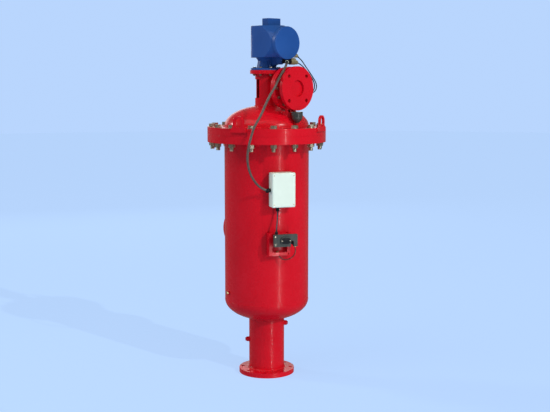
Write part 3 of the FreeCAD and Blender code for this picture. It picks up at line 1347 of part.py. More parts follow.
def valve_cover():
    """Dished cover behind the diaphragm."""
    back = VALVE_COVER_BACK_REACH - VALVE_COVER_DISH_DEPTH
    plate = forward_rod(
        VALVE_COVER_RADIUS, VALVE_COVER_BACK_REACH, VALVE_COVER_FRONT_REACH, 0, VALVE_HEIGHT
    )
    dish = forward_rod(VALVE_COVER_DISH_RADIUS, back, VALVE_COVER_BACK_REACH + 1, 0, VALVE_HEIGHT)
    rear = [edge for edge in dish.Edges if edge.BoundBox.YMin > -back - 0.01]
    dish = dish.makeFillet(VALVE_COVER_ROUND, rear)
    cover = fused([plate, dish])
    hollow = forward_rod(
        VALVE_COVER_DISH_RADIUS - VALVE_COVER_WALL,
        back + VALVE_COVER_WALL,
        VALVE_COVER_FRONT_REACH + 1,
        0,
        VALVE_HEIGHT,
    )
    hollow_rear = [
        edge for edge in hollow.Edges if edge.BoundBox.YMin > -back - VALVE_COVER_WALL - 0.01
    ]
    hollow = hollow.makeFillet(VALVE_COVER_ROUND - VALVE_COVER_WALL, hollow_rear)
    return turned(cover.cut(hollow).cut(stud_holes()), VALVE_BEARING)


def valve_diaphragm():
    disc = forward_ring(
        DIAPHRAGM_RADIUS,
        PLUG_PLATE_RADIUS + 0.3,
        VALVE_COVER_FRONT_REACH,
        REAR_FLANGE_BACK_REACH,
        VALVE_HEIGHT,
    )
    return turned(disc.cut(stud_holes()), VALVE_BEARING)


def valve_studs():
    """Bolts that clamp the cover, the diaphragm and the body, with their nuts."""
    back = VALVE_COVER_BACK_REACH
    front = VALVE_REAR_FLANGE_FRONT_REACH
    side = VALVE_STUD_CIRCLE_RADIUS
    head = forward_hexagon(VALVE_STUD_HEX, back - VALVE_STUD_HEAD, back, side, VALVE_HEIGHT)
    end = front + VALVE_NUT_HEIGHT + VALVE_STUD_END
    long_shank = forward_rod(VALVE_STUD_RADIUS, back, end, side, VALVE_HEIGHT)
    short_shank = forward_rod(VALVE_STUD_RADIUS, back, front - 1, side, VALVE_HEIGHT)
    nut = forward_hexagon(VALVE_STUD_HEX, front, front + VALVE_NUT_HEIGHT, side, VALVE_HEIGHT)
    nut = nut.cut(long_shank)
    long_bolts = about_valve_axis(fused([head, long_shank]), VALVE_STUD_COUNT)
    short_bolts = about_valve_axis(fused([head, short_shank]), VALVE_STUD_COUNT)
    nuts = about_valve_axis(nut, VALVE_STUD_COUNT)
    under_spout = VALVE_STUD_COUNT // 4
    chosen = []
    for index in range(VALVE_STUD_COUNT):
        if index == under_spout:
            chosen.append(short_bolts[index])
        else:
            chosen += [long_bolts[index], nuts[index]]
    return group([turned(shape, VALVE_BEARING) for shape in chosen])


def valve_plug():
    """Closing disc, stem and diaphragm plate, which move as one."""
    face = PORT_SEAT_REACH - PLUG_GAP
    disc = forward_rod(PLUG_DISC_RADIUS, face - PLUG_DISC_THICKNESS, face, 0, VALVE_HEIGHT)
    plate_back = VALVE_COVER_FRONT_REACH - PLUG_PLATE_THICKNESS
    stem = forward_rod(PLUG_STEM_RADIUS, plate_back, face - 1, 0, VALVE_HEIGHT)
    plate = forward_rod(PLUG_PLATE_RADIUS, plate_back, PLUG_PLATE_REACH, 0, VALVE_HEIGHT)
    return turned(fused([disc, stem, plate]), VALVE_BEARING)


def valve_spring():
    """Closing spring between the cover and the diaphragm plate."""
    back = VALVE_COVER_BACK_REACH - VALVE_COVER_DISH_DEPTH + VALVE_COVER_WALL
    front = VALVE_COVER_FRONT_REACH - PLUG_PLATE_THICKNESS
    length = front - back - 2 * SPRING_WIRE_RADIUS
    pitch = length / SPRING_TURNS
    helix = Part.makeHelix(pitch, length, SPRING_COIL_RADIUS)
    start = Vector(SPRING_COIL_RADIUS, 0, 0)
    circle = Part.Circle(start, Vector(0, 1, pitch / (2 * math.pi * SPRING_COIL_RADIUS)), SPRING_WIRE_RADIUS)
    section = Part.Wire(circle.toShape())
    coil = Part.Wire(helix).makePipeShell([section], True, True)
    coil.rotate(Vector(0, 0, 0), Vector(1, 0, 0), 90)
    coil.translate(Vector(0, -back - SPRING_WIRE_RADIUS, VALVE_HEIGHT))
    return turned(coil, VALVE_BEARING)


def control_strainer():
    """Small plastic strainer on a nipple of the neck, for the valve's control water."""
    y = -STRAINER_REACH
    x = STRAINER_SIDE
    head = rod(STRAINER_RADIUS, STRAINER_TOP - STRAINER_HEAD_HEIGHT, STRAINER_TOP, x, y)
    bowl_top = STRAINER_TOP - STRAINER_HEAD_HEIGHT
    radius = STRAINER_RADIUS - 2
    middle = (bowl_top + STRAINER_BOTTOM) / 2
    bowl = revolved(
        [
            (0.0, bowl_top),
            (radius, bowl_top),
            (radius * 0.93, middle),
            (STRAINER_TIP_RADIUS, STRAINER_BOTTOM + 4),
            (STRAINER_TIP_RADIUS - 5, STRAINER_BOTTOM),
            (0.0, STRAINER_BOTTOM),
        ]
    )
    bowl.translate(Vector(x, y, 0))
    neck_front = LEG_REACH + LEG_RADIUS - 1
    nipple = forward_rod(
        STRAINER_NIPPLE_RADIUS, neck_front - 6, STRAINER_REACH, x / 2, STRAINER_NIPPLE_HEIGHT
    )
    neck = rod(LEG_RADIUS, LEG_TOP - 60, LEG_TOP + 20, 0, -LEG_REACH)
    return turned(fused([head, bowl, nipple]).cut(neck), VALVE_BEARING)


def pilot_solenoid():
    """Pilot valve block and coil on the side of the flush valve chamber."""
    chamber = VALVE_CHAMBER_RADIUS + VALVE_CHAMBER_WALL
    half = SOLENOID_COIL_HEIGHT / 2
    middle = (SOLENOID_REACH[0] + SOLENOID_REACH[1]) / 2
    coil = block(
        SOLENOID_COIL_SIDES, SOLENOID_REACH, (SOLENOID_HEIGHT - half, SOLENOID_HEIGHT + half)
    )
    base = block(
        (chamber - SOLENOID_BODY_SINK, SOLENOID_COIL_SIDES[0]),
        (middle - SOLENOID_BODY_DEPTH / 2, middle + SOLENOID_BODY_DEPTH / 2),
        (SOLENOID_HEIGHT - SOLENOID_BODY_HEIGHT / 2, SOLENOID_HEIGHT + SOLENOID_BODY_HEIGHT / 2),
    )
    plug = block(
        (SOLENOID_COIL_SIDES[1], SOLENOID_COIL_SIDES[1] + SOLENOID_PLUG_LENGTH),
        SOLENOID_REACH,
        (SOLENOID_HEIGHT - 8, SOLENOID_HEIGHT + 8),
    )
    body = fused([coil, base, plug])
    body = body.cut(forward_rod(chamber, 150, 300, 0, VALVE_HEIGHT))
    return turned(body, VALVE_BEARING)


def box_shell(heights, reaches, corner):
    half = BOX_WIDTH / 2
    shell = block((-half, half), reaches, heights)
    along = [edge for edge in shell.Edges if edge.BoundBox.YLength > reaches[1] - reaches[0] - 0.1]
    return shell.makeFillet(corner, along)


def control_box():
    heights = (BOX_BOTTOM, BOX_BOTTOM + BOX_HEIGHT)
    shell = box_shell(heights, (BOX_BACK_REACH, BOX_LID_REACH), BOX_CORNER)
    half = BOX_WIDTH / 2 - BOX_WALL
    inside = block(
        (-half, half),
        (BOX_BACK_REACH + BOX_WALL, BOX_LID_REACH + 1),
        (BOX_BOTTOM + BOX_WALL, BOX_BOTTOM + BOX_HEIGHT - BOX_WALL),
    )
    return shell.cut(inside)


def box_lid():
    heights = (BOX_BOTTOM, BOX_BOTTOM + BOX_HEIGHT)
    lid = box_shell(heights, (BOX_LID_REACH, BOX_FRONT_REACH), BOX_CORNER)
    rim = [edge for edge in lid.Edges if edge.BoundBox.YMax < -BOX_FRONT_REACH + 0.01]
    lid = lid.makeFillet(BOX_LID_ROUND, rim)
    half = BOX_WIDTH / 2 - BOX_WALL
    inside = block(
        (-half, half),
        (BOX_LID_REACH - 1, BOX_FRONT_REACH - BOX_LID_ROUND),
        (BOX_BOTTOM + BOX_WALL, BOX_BOTTOM + BOX_HEIGHT - BOX_WALL),
    )
    return lid.cut(inside)


def panel_brackets():
    """Welded rails behind the control box, and the open frame that holds the switch."""
    vessel = rod(VESSEL_RADIUS, SWITCH_FRAME_BOTTOM - 50, BOX_BOTTOM + BOX_HEIGHT + 50)
    rails = []
    for side in (-RAIL_SIDE, RAIL_SIDE):
        for bottom in (BOX_BOTTOM + RAIL_INSET, BOX_BOTTOM + BOX_HEIGHT - RAIL_INSET - RAIL_HEIGHT):
            rail = block(
                (side - RAIL_WIDTH / 2, side + RAIL_WIDTH / 2),
                (VESSEL_RADIUS - 30, BOX_BACK_REACH),
                (bottom, bottom + RAIL_HEIGHT),
            )
            rails.append(rail.cut(vessel))
    sides = (SWITCH_FRAME_LEFT, SWITCH_FRAME_RIGHT)
    heights = (SWITCH_FRAME_BOTTOM, SWITCH_FRAME_TOP)
    back = SWITCH_BACK_REACH - SWITCH_FRAME_THICKNESS
    plate = block(sides, (back, SWITCH_BACK_REACH), heights)
    border = SWITCH_FRAME_BORDER
    cut_out = block(
        (sides[0] + border, sides[1] - border),
        (back - 5, SWITCH_BACK_REACH + 5),
        (heights[0] + border, heights[1] - border),
    )
    hole = forward_rod(
        SWITCH_FRAME_HOLE_RADIUS,
        back - 5,
        SWITCH_BACK_REACH + 5,
        sides[1] - border / 2,
        heights[0] + border / 2,
    )
    left_leg = block(
        (sides[0], sides[0] + SWITCH_FRAME_THICKNESS), (VESSEL_RADIUS - 60, back + 1), heights
    )
    right_leg = block(
        (sides[1] - SWITCH_FRAME_THICKNESS, sides[1]), (VESSEL_RADIUS - 60, back + 1), heights
    )
    frame = fused([plate.cut(cut_out).cut(hole), left_leg, right_leg]).cut(vessel)
    return group(rails + [frame])


def pressure_switch():
    """Switch housing: body, wider front cover with a notch, and an oval raised boss."""
    inset = SWITCH_BODY_INSET
    cover_reach = SWITCH_BACK_REACH + SWITCH_BODY_DEPTH
    body = block(
        (SWITCH_LEFT + inset, SWITCH_RIGHT - inset / 2),
        (SWITCH_BACK_REACH, cover_reach + 1),
        (SWITCH_BOTTOM + inset / 2, SWITCH_TOP - inset / 2),
    )
    cover = block(
        (SWITCH_LEFT, SWITCH_RIGHT), (cover_reach, SWITCH_FRONT_REACH), (SWITCH_BOTTOM, SWITCH_TOP)
    )
    along = [edge for edge in cover.Edges if edge.BoundBox.YLength > SWITCH_COVER_DEPTH - 0.1]
    cover = cover.makeFillet(6.0, along)
    left, right = SWITCH_NOTCH_SIDES
    round_radius = (right - left) / 2
    notch = fused(
        [
            block(
                SWITCH_NOTCH_SIDES,
                (SWITCH_BACK_REACH - 1, SWITCH_FRONT_REACH + 1),
                (SWITCH_BOTTOM - 1, SWITCH_NOTCH_TOP - round_radius),
            ),
            forward_rod(
                round_radius,
                SWITCH_BACK_REACH - 1,
                SWITCH_FRONT_REACH + 1,
                (left + right) / 2,
                SWITCH_NOTCH_TOP - round_radius,
            ),
        ]
    )
    housing = fused([body, cover]).cut(notch)
    middle = (SWITCH_BOTTOM + SWITCH_TOP) / 2
    radius = SWITCH_BOSS_HEIGHT / 2
    offset = SWITCH_BOSS_WIDTH / 2 - radius
    front = SWITCH_FRONT_REACH + SWITCH_BOSS_DEPTH
    back = SWITCH_FRONT_REACH - 1
    boss = fused(
        [
            forward_rod(radius, back, front, SWITCH_BOSS_SIDE - offset, middle),
            forward_rod(radius, back, front, SWITCH_BOSS_SIDE + offset, middle),
            block(
                (SWITCH_BOSS_SIDE - offset, SWITCH_BOSS_SIDE + offset),
                (back, front),
                (middle - radius, middle + radius),
            ),
        ]
    )
    return fused([housing, boss])


def stub(radius, start, end):
    """A short round piece between two points."""
    way = end - start
    return Part.makeCylinder(radius, way.Length, start, way)


def route_end(route, which, beyond):
    """The first or last point of a route and a point further out along its end run."""
    points = [Vector(*point) for point in route]
    if which == "last":
        points.reverse()
    way = (points[0] - points[1]).normalize()
    return points[0], points[0] + way * beyond


def terminal_block():
    """Square block under the terminal compartment that the glands screw into."""
    heights = (TERMINAL_BLOCK_BOTTOM, DRIVE_BODY_BOTTOM + DRIVE_FLOOR)
    terminal = block(TERMINAL_BLOCK_SIDES, TERMINAL_BLOCK_REACH, heights)
    return turned(terminal, DRIVE_BEARING).cut(fused([drive_form(), drive_lobe()]))


def cable_glands():
    """Black glands: under the terminal compartment, on the control box and on the switch."""
    face, inside = route_end(POWER_CABLE_ROUTE, "first", POWER_GLAND_LENGTH)
    power = stub(POWER_GLAND_RADIUS, inside, face)
    box_side = Vector(*POWER_CABLE_ROUTE[-1])
    side = stub(BOX_GLAND_RADIUS, box_side, Vector(-BOX_WIDTH / 2, box_side.y, box_side.z))
    box_low = Vector(*SWITCH_CABLE_ROUTE[0])
    low = stub(BOX_GLAND_RADIUS - 2, box_low, Vector(box_low.x, box_low.y, BOX_BOTTOM))
    switch_end = Vector(*SWITCH_CABLE_ROUTE[-1])
    top = stub(BOX_GLAND_RADIUS - 4, switch_end, Vector(switch_end.x, switch_end.y, SWITCH_TOP))
    return group([fused([terminal_block(), power]), side, low, top])


def brass_fittings():
    """Two brass glands beside the terminal block, and the two tube fittings."""
    reach = sum(TERMINAL_BLOCK_REACH) / 2
    start, shoulder, nose = BRASS_GLAND_SIDES
    height = SOLENOID_CABLE_2_ROUTE[0][2]
    body_start = Vector(start, -reach, height + BRASS_NOSE_DROP)
    nose_start = Vector(start, -reach - BRASS_NOSE_LEAD, height)
    sideways = Vector(1, 0, 0)
    body = Part.makeCylinder(BRASS_GLAND_RADIUS, shoulder - start, body_start, sideways)
    tip = Part.makeCylinder(BRASS_GLAND_NOSE_RADIUS, nose - start, nose_start, sideways)
    carrier = fused([drive_form(), terminal_block()])
    gland = turned(fused([body, tip]), DRIVE_BEARING).cut(carrier)
    small_face = Vector(*SOLENOID_CABLE_1_ROUTE[0])
    inward = place(SMALL_GLAND_LENGTH, DRIVE_BEARING - 90, 0)
    small = stub(SMALL_GLAND_RADIUS, small_face + inward, small_face).cut(carrier)
    upper = Vector(*IMPULSE_TUBE_ROUTE[0])
    port = stub(FITTING_RADIUS, upper, Vector(upper.x, upper.y, SWITCH_BOTTOM))
    lower = Vector(*IMPULSE_TUBE_ROUTE[-1])
    root = forward_rod(FITTING_RADIUS, VESSEL_RADIUS - 20, -lower.y, lower.x, lower.z)
    root = root.cut(rod(VESSEL_RADIUS, lower.z - 30, lower.z + 30))
    return group([gland, small, port, root])


def cord(name, radius, route):
    """A round cord along straight runs joined by tangent arcs; it enters its end pieces."""
    points = [Vector(*point) for point in route]
    first = (points[0] - points[1]).normalize() * CORD_SEAT
    last = (points[-1] - points[-2]).normalize() * CORD_SEAT
    edges = []
    radii = []
    at = points[0] + first
    for before, corner, after in zip(points, points[1:], points[2:]):
        back = before - corner
        ahead = after - corner
        run = min(back.Length, ahead.Length)
        trim = 0.45 * run
        half_turn = (math.pi - back.getAngle(ahead)) / 2
        arc_radius = trim / math.tan(half_turn)
        radii.append(round(arc_radius))
        start = corner + back.normalize() * trim
        end = corner + ahead.normalize() * trim
        middle_way = (start + end) * 0.5 - corner
        to_middle = arc_radius / math.cos(half_turn) - arc_radius
        middle = corner + middle_way.normalize() * to_middle
        edges.append(Part.LineSegment(at, start).toShape())
        edges.append(Part.Arc(start, middle, end).toShape())
        at = end
    edges.append(Part.LineSegment(at, points[-1] + last).toShape())
    path = Part.Wire(edges)
    way = points[1] - points[0]
    section = Part.Wire(Part.Circle(points[0] + first, way, radius).toShape())
    tube = path.makePipeShell([section], True, False)
    share = tube.Volume / (math.pi * radius**2 * path.Length)
    print(name, "length", round(path.Length), "radii", radii, "volume share", round(share, 3))
    return tube


def power_cable():
    return cord("power_cable", POWER_CABLE_RADIUS, POWER_CABLE_ROUTE)


def solenoid_cable_1():
    return cord("solenoid_cable_1", SOLENOID_CABLE_RADIUS, SOLENOID_CABLE_1_ROUTE)


def solenoid_cable_2():
    return cord("solenoid_cable_2", SOLENOID_CABLE_RADIUS, SOLENOID_CABLE_2_ROUTE)


def switch_cable():
    return cord("switch_cable", SWITCH_CABLE_RADIUS, SWITCH_CABLE_ROUTE)


def impulse_tube():
    return cord("impulse_tube", IMPULSE_TUBE_RADIUS, IMPULSE_TUBE_ROUTE)


NODES = {
    "inlet_flange": inlet_flange,
    "inlet_pipe": inlet_pipe,
    "bottom_head": bottom_head,
    "body_shell": body_shell,
    "body_flange": body_flange,
    "outlet_pipe": outlet_pipe,
    "outlet_flange": outlet_flange,
    "socket_plugs": socket_plugs,
    "cover_flange": cover_flange,
    "cover_dome": cover_dome,
    "cover_gasket": cover_gasket,
    "cover_bolts": cover_bolts,
    "cover_nuts": cover_nuts,
    "lifting_lugs": lifting_lugs,
    "seal_rings": seal_rings,
    "screen_seat": screen_seat,
    "screen_frame": screen_frame,
    "screen_mesh": screen_mesh,
    "partition_plate": partition_plate,
    "bearing_bushes": bearing_bushes,
    "collector_tube": collector_tube,
    "suction_nozzles": suction_nozzles,
    "drive_shaft": drive_shaft,
    "lantern": lantern,
    "lantern_fasteners": lantern_fasteners,
    "drive_nut": drive_nut,
    "limit_switches": limit_switches,
    "actuator_base": actuator_base,
    "actuator_body": actuator_body,
    "actuator_cap": actuator_cap,
    "compartment_cover": compartment_cover,
    "small_screws": small_screws,
    "ring_gear": ring_gear,
    "output_sleeve": output_sleeve,
    "motor_rotor": motor_rotor,
    "motor_stator": motor_stator,
    "flush_leg": flush_leg,
    "valve_body": valve_body,
    "flush_flange": flush_flange,
    "valve_cover": valve_cover,
    "valve_diaphragm": valve_diaphragm,
    "valve_studs": valve_studs,
    "valve_plug": valve_plug,
    "valve_spring": valve_spring,
    "control_strainer": control_strainer,
    "pilot_solenoid": pilot_solenoid,
    "control_box": control_box,
    "box_lid": box_lid,
    "panel_brackets": panel_brackets,
    "pressure_switch": pressure_switch,
    "cable_glands": cable_glands,
    "brass_fittings": brass_fittings,
    "power_cable": power_cable,
    "solenoid_cable_1": solenoid_cable_1,
    "solenoid_cable_2": solenoid_cable_2,
    "switch_cable": switch_cable,
    "impulse_tube": impulse_tube,
}


def main():
    os.makedirs("parts", exist_ok=True)
    shapes = {name: build() for name, build in NODES.items()}
    for index in range(PLANET_COUNT):
        shapes["planet_gear_%d" % (index + 1)] = planet_gear(index)
    for name, shape in shapes.items():
        if not shape.isValid():
            print("not valid:", name)
        shape.exportStep("parts/%s.step" % name)
        print(name, len(shape.Solids), round(shape.Volume))


main()
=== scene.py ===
import json
import math

import bmesh
import bpy
from mathutils import Euler, Matrix, Vector


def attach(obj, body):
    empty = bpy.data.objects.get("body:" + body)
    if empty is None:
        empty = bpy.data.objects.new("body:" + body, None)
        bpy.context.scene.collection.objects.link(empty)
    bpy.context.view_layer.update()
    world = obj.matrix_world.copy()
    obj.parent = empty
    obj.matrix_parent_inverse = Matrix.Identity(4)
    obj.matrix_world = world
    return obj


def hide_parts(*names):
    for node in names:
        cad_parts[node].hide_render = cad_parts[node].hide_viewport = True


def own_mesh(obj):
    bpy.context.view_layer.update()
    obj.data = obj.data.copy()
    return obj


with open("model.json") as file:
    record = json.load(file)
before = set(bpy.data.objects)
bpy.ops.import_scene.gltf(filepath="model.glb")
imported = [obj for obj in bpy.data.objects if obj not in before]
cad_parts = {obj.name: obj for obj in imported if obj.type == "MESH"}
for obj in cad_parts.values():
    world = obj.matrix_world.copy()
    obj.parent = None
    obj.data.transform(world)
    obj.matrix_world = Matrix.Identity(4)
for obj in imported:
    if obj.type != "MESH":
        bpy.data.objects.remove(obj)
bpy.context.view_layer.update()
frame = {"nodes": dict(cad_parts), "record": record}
NODES = frame["nodes"]

# Everything is in metres in the row frame: +Z is the vessel axis and -Y faces the control box.
# A bearing is measured in degrees about +Z from the -Y side toward +X, and a reach from the axis.
VESSEL_RADIUS = 0.259
PIPE_RADIUS = 0.10955
HEAD_TANGENT = 0.468
FLANGE_BOTTOM = 1.447
FLANGE_TOP = 1.5385
OUTLET_HEIGHT = 0.867
PIPE_FLANGE_THICKNESS = 0.0286
HEAD_DEPTH = 0.1174
PAINT_LINE = 0.45
BOLT_CIRCLE = 0.3325
BOLT_COUNT = 16
BOLT_RADIUS = 0.012
BOLT_END = 0.021
NUT_HEIGHT = 0.0215
HEAD_HEIGHT = 0.1295
LANTERN_RADIUS = 0.070
LANTERN_PLATE_BOTTOM = 1.857
LEG_RADIUS = 0.04445
LEG_REACH = 0.190
SOCKET_RADIUS = 0.015
LOW_SOCKET = (-104, 0.208)
HIGH_SOCKET = (60, 0.316)
DRAIN_RADIUS = 0.012
DRAIN_SOCKET = (-82, 0.526)
VALVE_BEARING = 25.0
VALVE_HEIGHT = 1.771
SPRING_BACK_REACH = 0.128
SPRING_FRONT_REACH = 0.177
SPRING_COIL_RADIUS = 0.026
SPRING_WIRE_RADIUS = 0.003
SPRING_WIRE_SIDES = 12
SPRING_TURNS = 4

THREAD_TURNS = 9
THREAD_ROOT_RADIUS = 0.01165
THREAD_STAND = 0.0004
THREAD_TIP_RADIUS = 0.0106
WASHER_RADIUS = 0.0220
WASHER_THICKNESS = 0.0030
WASHER_ROUND = 0.0006

BOX_SCREW_FACE = -0.3296
BOX_SCREW_SIDE = 0.0605
BOX_SCREW_HEIGHTS = (1.093, 1.265)
SWITCH_SCREW_FACE = -0.351
SWITCH_SCREW_SIDE = -0.060
SWITCH_SCREW_HEIGHTS = (0.907, 0.860)
PLATE_SIDE = 0.003
PLATE_HEIGHT = 0.8825
PLATE_END_REACH = 0.0115
PLATE_END_RADIUS = 0.0185
PLATE_SCREW_FACE = -0.359
PLATE_SCREW_REACH = 0.0245

NUT_RIBS = 14
RIB_DEPTH = 0.0007
NUT_BACK = 0.009
RELIEF_TIP_WALL = 0.0006
RELIEF_ROOT_WALL = 0.0026
SEAL_RADIUS = 0.0112
SEAL_START = 0.0032
POWER_RADIUS = 0.007
SOLENOID_RADIUS = 0.00325
SWITCH_RADIUS = 0.004
TUBE_RADIUS = 0.003

WELD_SIDES = 8
WELD_RIPPLE = 0.11
PAINT_EDGE = 0.0012
METAL_EDGE = 0.0006
PLASTIC_EDGE = 0.0007
FINE_DEPTH = 0.0002
MERGE_DISTANCE = 1e-6

CAMERA_PLACE = (-1.9472, -5.9052, 1.829)
CAMERA_HEADING = 18.726
CAMERA_DOWN = 7.17
CAMERA_ROLL = 0.055
CAMERA_LENS = 66.33
SENSOR_WIDTH = 36.0


# Small helpers for places and meshes


def place(reach, bearing, height, side=0.0):
    angle = math.radians(bearing)
    return Vector((
        reach * math.sin(angle) + side * math.cos(angle),
        -reach * math.cos(angle) + side * math.sin(angle),
        height,
    ))


def finish_mesh(name, mesh, material, smooth_angle=35):
    """Makes an object of a bmesh, gives it its finish and lets it ride with the vessel."""
    data = bpy.data.meshes.new(name)
    bmesh.ops.recalc_face_normals(mesh, faces=mesh.faces)
    mesh.to_mesh(data)
    mesh.free()
    data.materials.append(material)
    data.polygons.foreach_set("use_smooth", [True] * len(data.polygons))
    data.set_sharp_from_angle(angle=math.radians(smooth_angle))
    piece = bpy.data.objects.new(name, data)
    bpy.context.scene.collection.objects.link(piece)
    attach(piece, "root")
    return piece


def lathe(mesh, profile, matrix, steps):
    """Turns (radius, height) points about the local Z axis."""
    rings = []
    for step in range(steps):
        angle = 2 * math.pi * step / steps
        ring = []
        for radius, height in profile:
            at = Vector((radius * math.cos(angle), radius * math.sin(angle), height))
            ring.append(mesh.verts.new(matrix @ at))
        rings.append(ring)
    count = len(profile)
    for step in range(steps):
        here = rings[step]
        there = rings[(step + 1) % steps]
        for index in range(count - 1):
            mesh.faces.new((here[index], there[index], there[index + 1], here[index + 1]))
    for index in (0, count - 1):
        if profile[index][0] > MERGE_DISTANCE:
            mesh.faces.new([ring[index] for ring in rings])
    bmesh.ops.remove_doubles(mesh, verts=mesh.verts, dist=MERGE_DISTANCE)


def skin(mesh, rings):
    """Faces between rings of equal count, with a cap on the first and on the last."""
    for here, there in zip(rings, rings[1:]):
        for index in range(len(here)):
            after = (index + 1) % len(here)
            mesh.faces.new((here[index], here[after], there[after], there[index]))
    mesh.faces.new(rings[0])
    mesh.faces.new(rings[-1])


# Procedural materials


def new_material(name, colour, roughness, metallic=0.0, **sockets):
    material = bpy.data.materials.new(name)
    material.use_nodes = True
    shader = material.node_tree.nodes["Principled BSDF"]
    shader.inputs["Base Color"].default_value = (*colour, 1)
    shader.inputs["Roughness"].default_value = roughness
    shader.inputs["Metallic"].default_value = metallic
    for socket, value in sockets.items():
        shader.inputs[socket.replace("_", " ")].default_value = value
    return material


def add(material, kind, **inputs):
    node = material.node_tree.nodes.new(kind)
    for socket, value in inputs.items():
        node.inputs[socket.replace("_", " ")].default_value = value
    return node


def join(material, source, target):
    material.node_tree.links.new(source, target)


def noise(material, scale, detail=3.0, roughness=0.5, stretch=(1, 1, 1)):
    """Noise in the row frame's metres, so that it keeps its scale on every piece."""
    coordinates = add(material, "ShaderNodeTexCoord")
    mapping = add(material, "ShaderNodeMapping", Scale=stretch)
    texture = add(material, "ShaderNodeTexNoise", Scale=scale, Detail=detail, Roughness=roughness)
    join(material, coordinates.outputs["Object"], mapping.inputs["Vector"])
    join(material, mapping.outputs["Vector"], texture.inputs["Vector"])
    return texture.outputs["Fac"]


def ramp(material, source, stops):
    """A colour ramp through (place, colour) stops."""
    node = add(material, "ShaderNodeValToRGB")
    while len(node.color_ramp.elements) < len(stops):
        node.color_ramp.elements.new(0.5)
    for element, (at, colour) in zip(node.color_ramp.elements, stops):
        element.position = at
        element.color = (*colour, 1)
    join(material, source, node.inputs["Fac"])
    return node.outputs["Color"]


def spread(material, source, low, high, target):
    """Maps a noise to a range of values and sends it to a socket."""
    node = add(material, "ShaderNodeMapRange")
    node.inputs["From Min"].default_value = 0.3
    node.inputs["From Max"].default_value = 0.7
    node.inputs["To Min"].default_value = low
    node.inputs["To Max"].default_value = high
    join(material, source, node.inputs["Value"])
    join(material, node.outputs["Result"], target)


def blended(material, factor, first, second):
    node = add(material, "ShaderNodeMix")
    node.data_type = "RGBA"
    join(material, factor, node.inputs[0])
    join(material, first, node.inputs[6])
    join(material, second, node.inputs[7])
    return node.outputs[2]


def surface(material):
    return material.node_tree.nodes["Principled BSDF"].inputs


def relief(material, layers, edge=0.0):
    """Stacks (noise, strength, depth in metres) bumps over softened edges."""
    normal = None
    if edge:
        soft = add(material, "ShaderNodeBevel", Radius=edge)
        soft.samples = 4
        normal = soft.outputs["Normal"]
    for source, strength, depth in layers:
        bump = add(material, "ShaderNodeBump", Strength=strength, Distance=depth)
        join(material, source, bump.inputs["Height"])
        if normal:
            join(material, normal, bump.inputs["Normal"])
        normal = bump.outputs["Normal"]
    join(material, normal, surface(material)["Normal"])


def edge_mask(material, width, grain, low, high):
    """One where an edge is worn: the bevelled normal leaves the true one, broken up by a noise."""
    soft = add(material, "ShaderNodeBevel", Radius=width)
    soft.samples = 4
    true = add(material, "ShaderNodeNewGeometry")
    dot = add(material, "ShaderNodeVectorMath")
    dot.operation = "DOT_PRODUCT"
    join(material, soft.outputs["Normal"], dot.inputs[0])
    join(material, true.outputs["Normal"], dot.inputs[1])
    turn = add(material, "ShaderNodeMath")
    turn.operation = "SUBTRACT"
    turn.inputs[0].default_value = 1.0
    join(material, dot.outputs["Value"], turn.inputs[1])
    product = add(material, "ShaderNodeMath")
    product.operation = "MULTIPLY"
    join(material, turn.outputs[0], product.inputs[0])
    join(material, grain, product.inputs[1])
    node = add(material, "ShaderNodeMapRange")
    node.inputs["From Min"].default_value = low
    node.inputs["From Max"].default_value = high
    join(material, product.outputs[0], node.inputs["Value"])
    return node.outputs["Result"]


def painted(name, dark, middle, light, roughness, coat):
    """Sprayed enamel: slow colour drift, orange peel, and thinner lighter paint along the edges."""
    material = new_material(
        name, middle, roughness, Specular_IOR_Level=0.16, Coat_Weight=coat, Coat_Roughness=0.06
    )
    drift = noise(material, 3.2, 4.0, 0.55)
    colour = ramp(material, drift, [(0.30, dark), (0.50, middle), (0.72, light)])
    grain = noise(material, 130, 2.0)
    thin = tuple(min(1, c * 1.25 + 0.01) for c in light)
    worn = ramp(material, grain, [(0.35, light), (0.65, thin)])
    colour = blended(material, edge_mask(material, PAINT_EDGE, grain, 0.07, 0.26), colour, worn)
    join(material, colour, surface(material)["Base Color"])
    sheen = noise(material, 22, 5.0, 0.6)
    spread(material, sheen, roughness - 0.05, roughness + 0.07, surface(material)["Roughness"])
    orange_peel = (noise(material, 420, 2.0), 0.16, 0.0003)
    waviness = (noise(material, 34, 3.0), 0.10, 0.0008)
    relief(material, [orange_peel, waviness], PAINT_EDGE)
    return material


def metal(name, dark, light, roughness, scale, stretch=(1, 1, 1)):
    """Bare or plated metal with blotches, fine scratches and softened edges."""
    material = new_material(name, light, roughness, 1.0)
    colour = ramp(material, noise(material, scale, 5.0, 0.62), [(0.32, dark), (0.66, light)])
    join(material, colour, surface(material)["Base Color"])
    sheen = noise(material, scale * 2.5, 4.0, 0.6, stretch)
    spread(material, sheen, roughness - 0.09, roughness + 0.12, surface(material)["Roughness"])
    relief(material, [(noise(material, scale * 9, 3.0, 0.5, stretch), 0.25, FINE_DEPTH)], METAL_EDGE)
    return material


